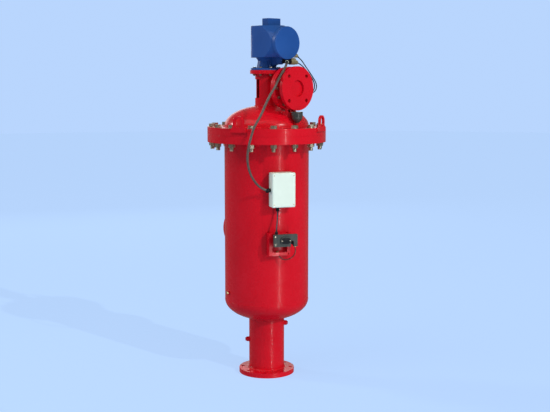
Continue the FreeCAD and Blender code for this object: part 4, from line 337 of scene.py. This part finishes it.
def painted_below(material, height, paint):
    """Red overspray on whatever sits below a height: the plugs of the inlet pipe are painted with it."""
    coordinates = add(material, "ShaderNodeTexCoord")
    parts = add(material, "ShaderNodeSeparateXYZ")
    join(material, coordinates.outputs["Object"], parts.inputs[0])
    below = add(material, "ShaderNodeMath")
    below.operation = "LESS_THAN"
    below.inputs[1].default_value = height
    join(material, parts.outputs["Z"], below.inputs[0])
    bare = surface(material)["Base Color"].links[0].from_socket
    shade = ramp(material, noise(material, 60, 3.0), [(0.3, tuple(0.9 * c for c in paint)), (0.7, paint)])
    join(material, blended(material, below.outputs[0], bare, shade), surface(material)["Base Color"])
    metallic = add(material, "ShaderNodeMath")
    metallic.operation = "SUBTRACT"
    metallic.inputs[0].default_value = 1.0
    join(material, below.outputs[0], metallic.inputs[1])
    join(material, metallic.outputs[0], surface(material)["Metallic"])


def plastic(name, dark, light, roughness, grain=900.0, strength=0.12, **sockets):
    """Moulded plastic: an even colour with a faint cloud and a fine spark-eroded grain."""
    material = new_material(name, light, roughness, **sockets)
    colour = ramp(material, noise(material, 16, 3.0), [(0.3, dark), (0.7, light)])
    join(material, colour, surface(material)["Base Color"])
    sheen = noise(material, 70, 3.0)
    spread(material, sheen, roughness - 0.04, roughness + 0.06, surface(material)["Roughness"])
    relief(material, [(noise(material, grain, 2.0), strength, FINE_DEPTH)], PLASTIC_EDGE)
    return material


RED = painted(
    "vessel_red", (0.56, 0.0030, 0.0105), (0.61, 0.0036, 0.0125), (0.65, 0.0050, 0.0155), 0.26, 0.09
)
BLUE = painted("drive_blue", (0.012, 0.060, 0.225), (0.015, 0.073, 0.262), (0.021, 0.088, 0.30), 0.34, 0.05)
ZINC = metal("zinc_steel", (0.31, 0.28, 0.20), (0.60, 0.56, 0.45), 0.36, 120)
STAINLESS = metal("stainless", (0.48, 0.49, 0.50), (0.68, 0.69, 0.70), 0.30, 40, (1, 1, 12))
BRONZE = metal("bronze", (0.30, 0.17, 0.06), (0.56, 0.37, 0.16), 0.34, 70)
BRASS = metal("brass", (0.60, 0.51, 0.27), (0.86, 0.76, 0.46), 0.36, 90)
painted_below(BRASS, PAINT_LINE, (0.50, 0.0040, 0.0120))
IRON = metal("motor_steel", (0.16, 0.16, 0.17), (0.33, 0.33, 0.35), 0.42, 80)
BOX = plastic("box_plastic", (0.655, 0.735, 0.605), (0.705, 0.790, 0.650), 0.42)
SWITCH = plastic(
    "switch_grey", (0.034, 0.042, 0.036), (0.050, 0.060, 0.052), 0.50, 520, 0.3, Specular_IOR_Level=0.3
)
BLACK = plastic(
    "black_plastic", (0.006, 0.007, 0.009), (0.012, 0.013, 0.016), 0.45, Specular_IOR_Level=0.12
)
BOWL = plastic("bowl_plastic", (0.034, 0.038, 0.034), (0.050, 0.056, 0.050), 0.26)
RUBBER = plastic("rubber", (0.012, 0.012, 0.013), (0.028, 0.028, 0.028), 0.62, 300, 0.25)
LINE = metal("steel_line", (0.13, 0.075, 0.065), (0.30, 0.20, 0.18), 0.34, 200)


def sheath(name, dark, light, roughness):
    """Extruded cable jacket, faintly scuffed along its length."""
    material = new_material(name, light, roughness)
    colour = ramp(material, noise(material, 45, 4.0, 0.6), [(0.32, dark), (0.68, light)])
    join(material, colour, surface(material)["Base Color"])
    sheen = noise(material, 160, 3.0)
    spread(material, sheen, roughness - 0.06, roughness + 0.08, surface(material)["Roughness"])
    relief(material, [(noise(material, 700, 2.0), 0.2, FINE_DEPTH)])
    return material


POWER_SHEATH = sheath("power_sheath", (0.068, 0.047, 0.037), (0.118, 0.082, 0.065), 0.48)
THIN_SHEATH = sheath("thin_sheath", (0.010, 0.018, 0.026), (0.018, 0.032, 0.046), 0.40)

FINISHES = {
    "vessel_red": RED,
    "drive_blue": BLUE,
    "zinc_steel": ZINC,
    "stainless": STAINLESS,
    "bronze": BRONZE,
    "brass": BRASS,
    "motor_steel": IRON,
    "box_plastic": BOX,
    "switch_grey": SWITCH,
    "black_plastic": BLACK,
    "bowl_plastic": BOWL,
    "rubber": RUBBER,
    "power_sheath": POWER_SHEATH,
    "thin_sheath": THIN_SHEATH,
    "steel_line": LINE,
}
for part in frame["record"]["subparts"]:
    carried = NODES[part["node"]]
    for carried_slot in carried.material_slots:
        carried_slot.material = FINISHES[part["material_slot"]]


# Cords, each on the route of its CAD solid

POWER_ROUTE = [
    (0.074, -0.162, 1.927), (0.060, -0.195, 1.914), (0.032, -0.233, 1.882), (0.003, -0.252, 1.847),
    (-0.030, -0.294, 1.812), (-0.052, -0.313, 1.780), (-0.081, -0.326, 1.743), (-0.112, -0.330, 1.687),
    (-0.140, -0.333, 1.626), (-0.169, -0.336, 1.580), (-0.191, -0.339, 1.543), (-0.206, -0.341, 1.498),
    (-0.218, -0.339, 1.451), (-0.225, -0.335, 1.408), (-0.226, -0.330, 1.360), (-0.214, -0.321, 1.304),
    (-0.192, -0.309, 1.259), (-0.165, -0.298, 1.224), (-0.134, -0.292, 1.193), (-0.095, -0.290, 1.177),
]
SOLENOID_1_ROUTE = [
    (0.156, -0.108, 1.963), (0.184, -0.105, 1.944), (0.209, -0.109, 1.906), (0.236, -0.119, 1.865),
    (0.255, -0.129, 1.833), (0.268, -0.140, 1.804), (0.270, -0.147, 1.780), (0.263, -0.150, 1.760),
    (0.249, -0.153, 1.747), (0.232, -0.160, 1.742),
]
SOLENOID_2_ROUTE = [
    (0.156, -0.108, 1.925), (0.183, -0.103, 1.914), (0.209, -0.104, 1.889), (0.234, -0.109, 1.860),
    (0.252, -0.116, 1.830), (0.263, -0.124, 1.803), (0.263, -0.130, 1.780), (0.257, -0.134, 1.761),
    (0.244, -0.139, 1.748), (0.226, -0.147, 1.742),
]
SWITCH_ROUTE = [
    (-0.027, -0.290, 1.055), (-0.028, -0.291, 1.034), (-0.034, -0.303, 1.000), (-0.041, -0.316, 0.966),
    (-0.045, -0.323, 0.948), (-0.046, -0.324, 0.931),
]
IMPULSE_ROUTE = [
    (0.069, -0.326, 0.840), (0.073, -0.326, 0.821), (0.071, -0.323, 0.799), (0.059, -0.317, 0.778),
    (0.038, -0.310, 0.764), (0.010, -0.303, 0.759), (-0.010, -0.293, 0.770), (-0.019, -0.280, 0.787),
    (-0.020, -0.268, 0.800),
]


def free_cord(name, route, radius, length, stiffness, material, slot):
    data = bpy.data.curves.new(name, "CURVE")
    data.dimensions = "3D"
    spline = data.splines.new("NURBS")
    spline.points.add(len(route) - 1)
    for point, at in zip(spline.points, route):
        point.co = (*at, 1)
    spline.order_u = 3
    spline.use_endpoint_u = True
    spline.resolution_u = 12
    data.bevel_depth = radius
    data.bevel_resolution = 5
    data.use_fill_caps = True
    data.materials.append(material)
    cord = bpy.data.objects.new(name, data)
    bpy.context.scene.collection.objects.link(cord)
    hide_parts(name.removesuffix("_line"))
    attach(cord, "root")


CORDS = [
    ("power_cable_line", POWER_ROUTE, POWER_RADIUS, 0.961, "medium", POWER_SHEATH, "power_sheath"),
    ("solenoid_cable_1_line", SOLENOID_1_ROUTE, SOLENOID_RADIUS, 0.291, "medium", THIN_SHEATH, "thin_sheath"),
    ("solenoid_cable_2_line", SOLENOID_2_ROUTE, SOLENOID_RADIUS, 0.258, "medium", THIN_SHEATH, "thin_sheath"),
    ("switch_cable_line", SWITCH_ROUTE, SWITCH_RADIUS, 0.137, "medium", THIN_SHEATH, "thin_sheath"),
    ("impulse_tube_line", IMPULSE_ROUTE, TUBE_RADIUS, 0.191, "stiff", LINE, "steel_line"),
]
for cord_facts in CORDS:
    free_cord(*cord_facts)


# Weld beads


def weld_bead(mesh, path, ways, radius, ripples):
    """A closed rope of round section along a path. ways point away from the wall under it."""
    count = len(path)
    rings = []
    for index, (at, way) in enumerate(zip(path, ways)):
        along = (path[(index + 1) % count] - path[index - 1]).normalized()
        across = along.cross(way).normalized()
        thick = radius * (1 + WELD_RIPPLE * math.sin(2 * math.pi * ripples * index / count))
        ring = []
        for side in range(WELD_SIDES):
            angle = 2 * math.pi * side / WELD_SIDES
            ring.append(mesh.verts.new(at + (way * math.cos(angle) + across * math.sin(angle)) * thick))
        rings.append(ring)
    for index in range(count):
        here = rings[index]
        there = rings[(index + 1) % count]
        for side in range(WELD_SIDES):
            after = (side + 1) % WELD_SIDES
            mesh.faces.new((here[side], there[side], there[after], here[after]))


def saddle(radius, wall, bearing, height, steps):
    """Where a stub that points outward at a bearing meets a wall round the vessel axis."""
    path = []
    ways = []
    for step in range(steps):
        angle = 2 * math.pi * step / steps
        side = radius * math.cos(angle)
        path.append(place(math.sqrt(wall**2 - side**2), bearing, height + radius * math.sin(angle), side))
        ways.append(place(1.0, bearing, 0))
    return path, ways


def ring_path(radius, height, steps):
    path = [place(radius, 360 * step / steps, height) for step in range(steps)]
    return path, [Vector((0, 0, 1))] * steps


def dome_height(radius):
    """The cover dome's outer surface, half an ellipse on the flange."""
    return FLANGE_TOP + HEAD_HEIGHT * math.sqrt(1 - (radius / VESSEL_RADIUS) ** 2)


def leg_foot(steps):
    """Where the flush leg stands on the dome."""
    centre = place(LEG_REACH, VALVE_BEARING, 0)
    path = []
    for step in range(steps):
        angle = 2 * math.pi * step / steps
        at = centre + Vector((math.cos(angle), math.sin(angle), 0)) * LEG_RADIUS
        path.append(Vector((at.x, at.y, dome_height(at.length))))
    return path, [Vector((0, 0, 1))] * steps


WELDS = [
    ("weld_flange", ring_path(VESSEL_RADIUS, FLANGE_BOTTOM, 640), 0.0058, 160),
    ("weld_cover", ring_path(VESSEL_RADIUS + 0.001, FLANGE_TOP + 0.0005, 640), 0.0050, 160),
    ("weld_head_seam", ring_path(VESSEL_RADIUS - 0.0004, HEAD_TANGENT, 640), 0.0016, 160),
    ("weld_inlet_head", ring_path(PIPE_RADIUS, HEAD_TANGENT - HEAD_DEPTH, 320), 0.0056, 72),
    ("weld_inlet_flange", ring_path(PIPE_RADIUS, PIPE_FLANGE_THICKNESS, 320), 0.0060, 72),
    ("weld_lantern_foot", ring_path(LANTERN_RADIUS, dome_height(LANTERN_RADIUS), 240), 0.0042, 60),
    ("weld_lantern_plate", ring_path(LANTERN_RADIUS, LANTERN_PLATE_BOTTOM, 240), 0.0038, 60),
    ("weld_leg_foot", leg_foot(200), 0.0040, 44),
    ("weld_outlet", saddle(PIPE_RADIUS, VESSEL_RADIUS, 180, OUTLET_HEIGHT, 320), 0.0060, 80),
    ("weld_socket_low", saddle(SOCKET_RADIUS, PIPE_RADIUS, *LOW_SOCKET, 96), 0.0024, 18),
    ("weld_socket_high", saddle(SOCKET_RADIUS, PIPE_RADIUS, *HIGH_SOCKET, 96), 0.0024, 18),
    ("weld_drain", saddle(DRAIN_RADIUS, VESSEL_RADIUS, *DRAIN_SOCKET, 96), 0.0022, 16),
]
for weld_name, (weld_path, weld_ways), weld_radius, weld_ripples in WELDS:
    weld_mesh = bmesh.new()
    weld_bead(weld_mesh, weld_path, weld_ways, weld_radius, weld_ripples)
    finish_mesh(weld_name, weld_mesh, RED, smooth_angle=60)


# Small hardware on what the solids leave plain


def bolt_threads():
    """Turned grooves on the ends of the cover bolts, a hair proud of their shanks."""
    mesh = bmesh.new()
    top = FLANGE_BOTTOM - NUT_HEIGHT
    tip = top - BOLT_END - 0.0006
    profile = [(0.0, tip), (THREAD_TIP_RADIUS, tip)]
    for turn in range(THREAD_TURNS):
        low = top - BOLT_END + BOLT_END * turn / THREAD_TURNS
        profile.append((THREAD_ROOT_RADIUS, low + 0.0002))
        profile.append((BOLT_RADIUS + THREAD_STAND, low + 0.5 * BOLT_END / THREAD_TURNS))
    profile.append((0.0118, top))
    for index in range(BOLT_COUNT):
        at = place(BOLT_CIRCLE, 180 / BOLT_COUNT + 360 * index / BOLT_COUNT, 0)
        lathe(mesh, profile, Matrix.Translation(at), steps=28)
    finish_mesh("cover_bolt_threads", mesh, ZINC, smooth_angle=50)


def nut_washers():
    """Round washers between the cover nuts and the flange."""
    mesh = bmesh.new()
    profile = [
        (0.0, 0.0),
        (0.0216, 0.0),
        (WASHER_RADIUS, -WASHER_ROUND),
        (WASHER_RADIUS, WASHER_ROUND - WASHER_THICKNESS),
        (WASHER_RADIUS - WASHER_ROUND, -WASHER_THICKNESS),
        (0.0, -WASHER_THICKNESS),
    ]
    for index in range(BOLT_COUNT):
        at = place(BOLT_CIRCLE, 180 / BOLT_COUNT + 360 * index / BOLT_COUNT, FLANGE_BOTTOM)
        lathe(mesh, profile, Matrix.Translation(at), steps=40)
    finish_mesh("cover_nut_washers", mesh, ZINC)


def toward(at, way):
    """A matrix at a point whose local +Z looks along way."""
    turn = Vector(way).normalized().to_track_quat("Z", "Y").to_matrix().to_4x4()
    return Matrix.Translation(at) @ turn


def recess_shade_cross(mesh, matrix, reach, width, depth=0.0003):
    """Painted shade of a cross recess: a dark cross that stands a hair proud of its screw head, where the
    shade inside the recess would fall.
    """
    half = width / 2
    arm = [(reach, -half), (reach, half), (half, half)]
    outline = []
    for quarter in range(4):
        turn = Matrix.Rotation(quarter * math.pi / 2 + 0.4, 4, "Z")
        outline += [turn @ Vector((x, y, 0)) for x, y in arm]
    front = [mesh.verts.new(matrix @ (at + Vector((0, 0, depth)))) for at in outline]
    back = [mesh.verts.new(matrix @ (at - Vector((0, 0, depth)))) for at in outline]
    mesh.faces.new(front)
    mesh.faces.new(list(reversed(back)))
    for index in range(len(front)):
        after = (index + 1) % len(front)
        mesh.faces.new((front[index], back[index], back[after], front[after]))


def front_recess_shade(mesh, side, face, height, reach, width):
    # A dark cross of painted recess shade on a screw that faces -Y.
    recess_shade_cross(mesh, toward(Vector((side, face, height)), (0, -1, 0)), reach, width)


def recess_shade_crosses():
    """Painted shade of the recesses in the screws of the box lid, of the pressure switch and of its oval
    plate.
    """
    mesh = bmesh.new()
    for side in (-BOX_SCREW_SIDE, BOX_SCREW_SIDE):
        for height in BOX_SCREW_HEIGHTS:
            front_recess_shade(mesh, side, BOX_SCREW_FACE, height, 0.0024, 0.0008)
    for height in SWITCH_SCREW_HEIGHTS:
        front_recess_shade(mesh, SWITCH_SCREW_SIDE, SWITCH_SCREW_FACE, height, 0.0034, 0.0011)
    for reach in (-PLATE_SCREW_REACH, PLATE_SCREW_REACH):
        front_recess_shade(mesh, PLATE_SIDE + reach, PLATE_SCREW_FACE, PLATE_HEIGHT, 0.0023, 0.0008)
    # Black crosses that paint the shade inside the screw recesses.
    finish_mesh("recess_shade_crosses", mesh, BLACK)


def switch_plate():
    """Thin dark oval cover plate on the raised boss of the pressure switch."""
    mesh = bmesh.new()
    outline = []
    for end in (1, -1):
        for step in range(13):
            angle = math.radians(-90 + 15 * step) + (0 if end > 0 else math.pi)
            across = end * PLATE_END_REACH + PLATE_END_RADIUS * math.cos(angle)
            outline.append((across, PLATE_END_RADIUS * math.sin(angle)))
    levels = ((-0.3566, 1.0), (-0.3577, 1.0), (-0.3580, 0.97))
    rings = []
    for level, share in levels:
        ring = []
        for across, up in outline:
            ring.append(mesh.verts.new((PLATE_SIDE + across * share, level, PLATE_HEIGHT + up * share)))
        rings.append(ring)
    skin(mesh, rings)
    finish_mesh("switch_plate", mesh, BLACK)


def ribbed_sleeve(mesh, start, way, stations, ribs=0):
    """A turned sleeve along way through (distance, radius) stations, with grip ribs if asked."""
    steps = max(36, ribs * 4)
    rings = []
    matrix = toward(start, way)
    for distance, radius in stations:
        ring = []
        for step in range(steps):
            angle = 2 * math.pi * step / steps
            grown = radius + (RIB_DEPTH if ribs and step % 4 in (0, 1) else 0.0)
            at = Vector((grown * math.cos(angle), grown * math.sin(angle), distance))
            ring.append(mesh.verts.new(matrix @ at))
        rings.append(ring)
    skin(mesh, rings)


def gland_nuts():
    """Ribbed dome nuts over the plain ends of the glands, a pale seal in one, and the cables' reliefs."""
    nuts = bmesh.new()
    brass_nuts = bmesh.new()
    reliefs = bmesh.new()
    seal = bmesh.new()
    # Where the cord leaves, the next place on it, the nut's radius, the cord's, the relief's length
    ends = [
        (POWER_ROUTE[0], POWER_ROUTE[1], 0.0107, POWER_RADIUS, 0.034, nuts),
        (POWER_ROUTE[-1], POWER_ROUTE[-2], 0.0128, POWER_RADIUS, 0.006, nuts),
        (SOLENOID_1_ROUTE[0], SOLENOID_1_ROUTE[1], 0.0100, SOLENOID_RADIUS, 0.016, brass_nuts),
        (SWITCH_ROUTE[0], SWITCH_ROUTE[1], 0.0107, SWITCH_RADIUS, 0.006, nuts),
        (SWITCH_ROUTE[-1], SWITCH_ROUTE[-2], 0.0087, SWITCH_RADIUS, 0.006, nuts),
    ]
    for face, after, radius, cord_radius, long, mesh in ends:
        face = Vector(face)
        way = (Vector(after) - face).normalized()
        dome = [(0.0, radius), (0.0085, radius), (0.0105, radius * 0.93), (0.0125, radius * 0.80)]
        ribbed_sleeve(mesh, face - way * NUT_BACK, way, dome, NUT_RIBS)
        tip = cord_radius + RELIEF_TIP_WALL
        root = cord_radius + RELIEF_ROOT_WALL
        middle = (0.45 * long, 0.5 * (root + tip) + 0.0004)
        taper = [(0.0, root), middle, (long, tip), (long + 0.0006, cord_radius)]
        ribbed_sleeve(reliefs, face, way, taper)
    mouth = Vector(POWER_ROUTE[0])
    way = (Vector(POWER_ROUTE[1]) - mouth).normalized()
    lip = [(0.0, SEAL_RADIUS), (0.0020, SEAL_RADIUS), (0.0028, 0.0100)]
    ribbed_sleeve(seal, mouth + way * SEAL_START, way, lip)
    finish_mesh("gland_seal", seal, BOX, smooth_angle=30)
    finish_mesh("gland_nuts", nuts, BLACK, smooth_angle=30)
    finish_mesh("brass_gland_nut", brass_nuts, BRASS, smooth_angle=30)
    finish_mesh("cable_reliefs", reliefs, RUBBER, smooth_angle=50)


def flush_spring():
    """Closing spring of the flush valve, inside it. The real spring shortens as the plug goes back; this one
    keeps one length.
    """
    mesh = bmesh.new()
    steps = 40 * SPRING_TURNS
    forward = place(1.0, VALVE_BEARING, 0)
    back = SPRING_BACK_REACH + SPRING_WIRE_RADIUS
    front = SPRING_FRONT_REACH - SPRING_WIRE_RADIUS
    rings = []
    for step in range(steps + 1):
        angle = 2 * math.pi * SPRING_TURNS * step / steps
        outward = place(0.0, VALVE_BEARING, math.sin(angle), math.cos(angle))
        middle = place(back + (front - back) * step / steps, VALVE_BEARING, VALVE_HEIGHT)
        ring = []
        for side in range(SPRING_WIRE_SIDES):
            turn = 2 * math.pi * side / SPRING_WIRE_SIDES
            reach = SPRING_COIL_RADIUS + SPRING_WIRE_RADIUS * math.cos(turn)
            lift = forward * SPRING_WIRE_RADIUS * math.sin(turn)
            ring.append(mesh.verts.new(middle + outward * reach + lift))
        rings.append(ring)
    skin(mesh, rings)
    spring = finish_mesh("flush_spring", mesh, ZINC)
    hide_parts("valve_spring")
    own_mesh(spring)


bolt_threads()
nut_washers()
# Painted shade in the screw recesses, drawn as black crosses.
recess_shade_crosses()
switch_plate()
gland_nuts()
flush_spring()


# Floor, backdrop, lights and camera


def aimed(data, name, at, target):
    light = bpy.data.objects.new(name, data)
    light.location = at
    light.rotation_euler = (Vector(target) - Vector(at)).to_track_quat("-Z", "Y").to_euler()
    light.visible_camera = False
    bpy.context.scene.collection.objects.link(light)
    return light


def from_direction(bearing, elevation, distance):
    """A place seen from the vessel's middle at a bearing and an elevation."""
    level = place(distance * math.cos(math.radians(elevation)), bearing, 0)
    return level + Vector((0, 0, AIM[2] + distance * math.sin(math.radians(elevation))))


def sun(name, bearing, elevation, strength, spread_angle):
    data = bpy.data.lights.new(name, "SUN")
    data.energy = strength
    data.angle = math.radians(spread_angle)
    aimed(data, name, from_direction(bearing, elevation, SUN_DISTANCE), AIM)


def panel(name, width, height, power):
    data = bpy.data.lights.new(name, "AREA")
    data.shape = "RECTANGLE"
    data.size = width
    data.size_y = height
    data.energy = power
    return data


def softbox(name, bearing, elevation, distance, size, power):
    aimed(panel(name, *size, power), name, from_direction(bearing, elevation, distance), AIM)


def standing_strip(name, bearing, reach, width, low, high, power):
    """A narrow upright light that draws one highlight down every round wall. It neither lights the floor
    nor is stopped by it, so that the highlight also runs down the inlet pipe and leaves no bright spot."""
    at = place(reach, bearing, (low + high) / 2)
    light = aimed(panel(name, width, high - low, power), name, at, (0, 0, at.z))
    passed = bpy.data.collections.new(name + "_passes")
    passed.objects.link(floor)
    passed.collection_objects[0].light_linking.link_state = "EXCLUDE"
    light.light_linking.receiver_collection = passed
    light.light_linking.blocker_collection = passed


def stage_material(name, colour, glow):
    """Matt studio paint with its own soft glow, so that the floor and the backdrop meet without a line."""
    material = new_material(name, colour, 0.9, Specular_IOR_Level=0.0)
    surface(material)["Emission Color"].default_value = (*glow, 1)
    surface(material)["Emission Strength"].default_value = 1.0
    darker = tuple(0.99 * c for c in colour)
    shade = ramp(material, noise(material, 0.4, 2.0), [(0.3, darker), (0.7, colour)])
    join(material, shade, surface(material)["Base Color"])
    return material


def stage_piece(name, mesh, material):
    data = bpy.data.meshes.new(name)
    mesh.to_mesh(data)
    mesh.free()
    data.materials.append(material)
    piece = bpy.data.objects.new(name, data)
    bpy.context.scene.collection.objects.link(piece)
    return piece


AIM = (0, 0, 1.25)
SUN_DISTANCE = 8.0
BACKDROP_COLOUR = (0.485, 0.670, 0.990)
BACKDROP_RADIUS = 30.0
FLOOR_COLOUR = (0.14, 0.19, 0.285)
FLOOR_GLOW = (0.398, 0.560, 0.826)
FLOOR_HALF_WIDTH = 29.0
FLOOR_HEIGHT = -0.0005
WORLD_COLOUR = (0.96, 0.98, 1.0)
WORLD_STRENGTH = 0.20

floor_mesh = bmesh.new()
bmesh.ops.create_grid(floor_mesh, x_segments=8, y_segments=8, size=FLOOR_HALF_WIDTH)
floor = stage_piece("floor", floor_mesh, stage_material("floor_paint", FLOOR_COLOUR, FLOOR_GLOW))
floor.location = (0, 0, FLOOR_HEIGHT)
floor.visible_glossy = False

sky_mesh = bmesh.new()
bmesh.ops.create_icosphere(sky_mesh, subdivisions=4, radius=BACKDROP_RADIUS)
sky = stage_piece("backdrop", sky_mesh, stage_material("backdrop_paint", (0, 0, 0), BACKDROP_COLOUR))
for ray in ("visible_diffuse", "visible_glossy", "visible_transmission", "visible_shadow"):
    setattr(sky, ray, False)

world = bpy.data.worlds.new("studio")
bpy.context.scene.world = world
world.use_nodes = True
world.node_tree.nodes["Background"].inputs["Color"].default_value = (*WORLD_COLOUR, 1)
world.node_tree.nodes["Background"].inputs["Strength"].default_value = WORLD_STRENGTH

sun("key", 25.75, 31.0, 1.30, 0.9)
sun("back", -130.0, 20.0, 0.9, 8.0)
softbox("horizon", 178.0, 12.0, 8.0, (7.0, 2.0), 60)
standing_strip("strip", 15.5, 2.2, 0.05, -0.9, 3.0, 20)
softbox("fill_left", -75.0, 50.0, 6.0, (4.0, 3.0), 95)
softbox("fill_front", -10.0, 58.0, 6.0, (4.0, 3.0), 46)

heading = math.radians(CAMERA_HEADING)
down = math.radians(CAMERA_DOWN)
forward = Vector((
    math.sin(heading) * math.cos(down),
    math.cos(heading) * math.cos(down),
    -math.sin(down),
))
lens = bpy.data.cameras.new("camera")
lens.lens = CAMERA_LENS
lens.sensor_width = SENSOR_WIDTH
lens.clip_end = 100.0
camera = bpy.data.objects.new("camera", lens)
camera.location = CAMERA_PLACE
camera.rotation_mode = "QUATERNION"
camera.rotation_quaternion = (
    forward.to_track_quat("-Z", "Y") @ Euler((0, 0, math.radians(CAMERA_ROLL))).to_quaternion()
)
bpy.context.scene.collection.objects.link(camera)
bpy.context.scene.camera = camera
bpy.context.scene.view_settings.view_transform = "Standard"
bpy.context.scene.view_settings.look = "None"
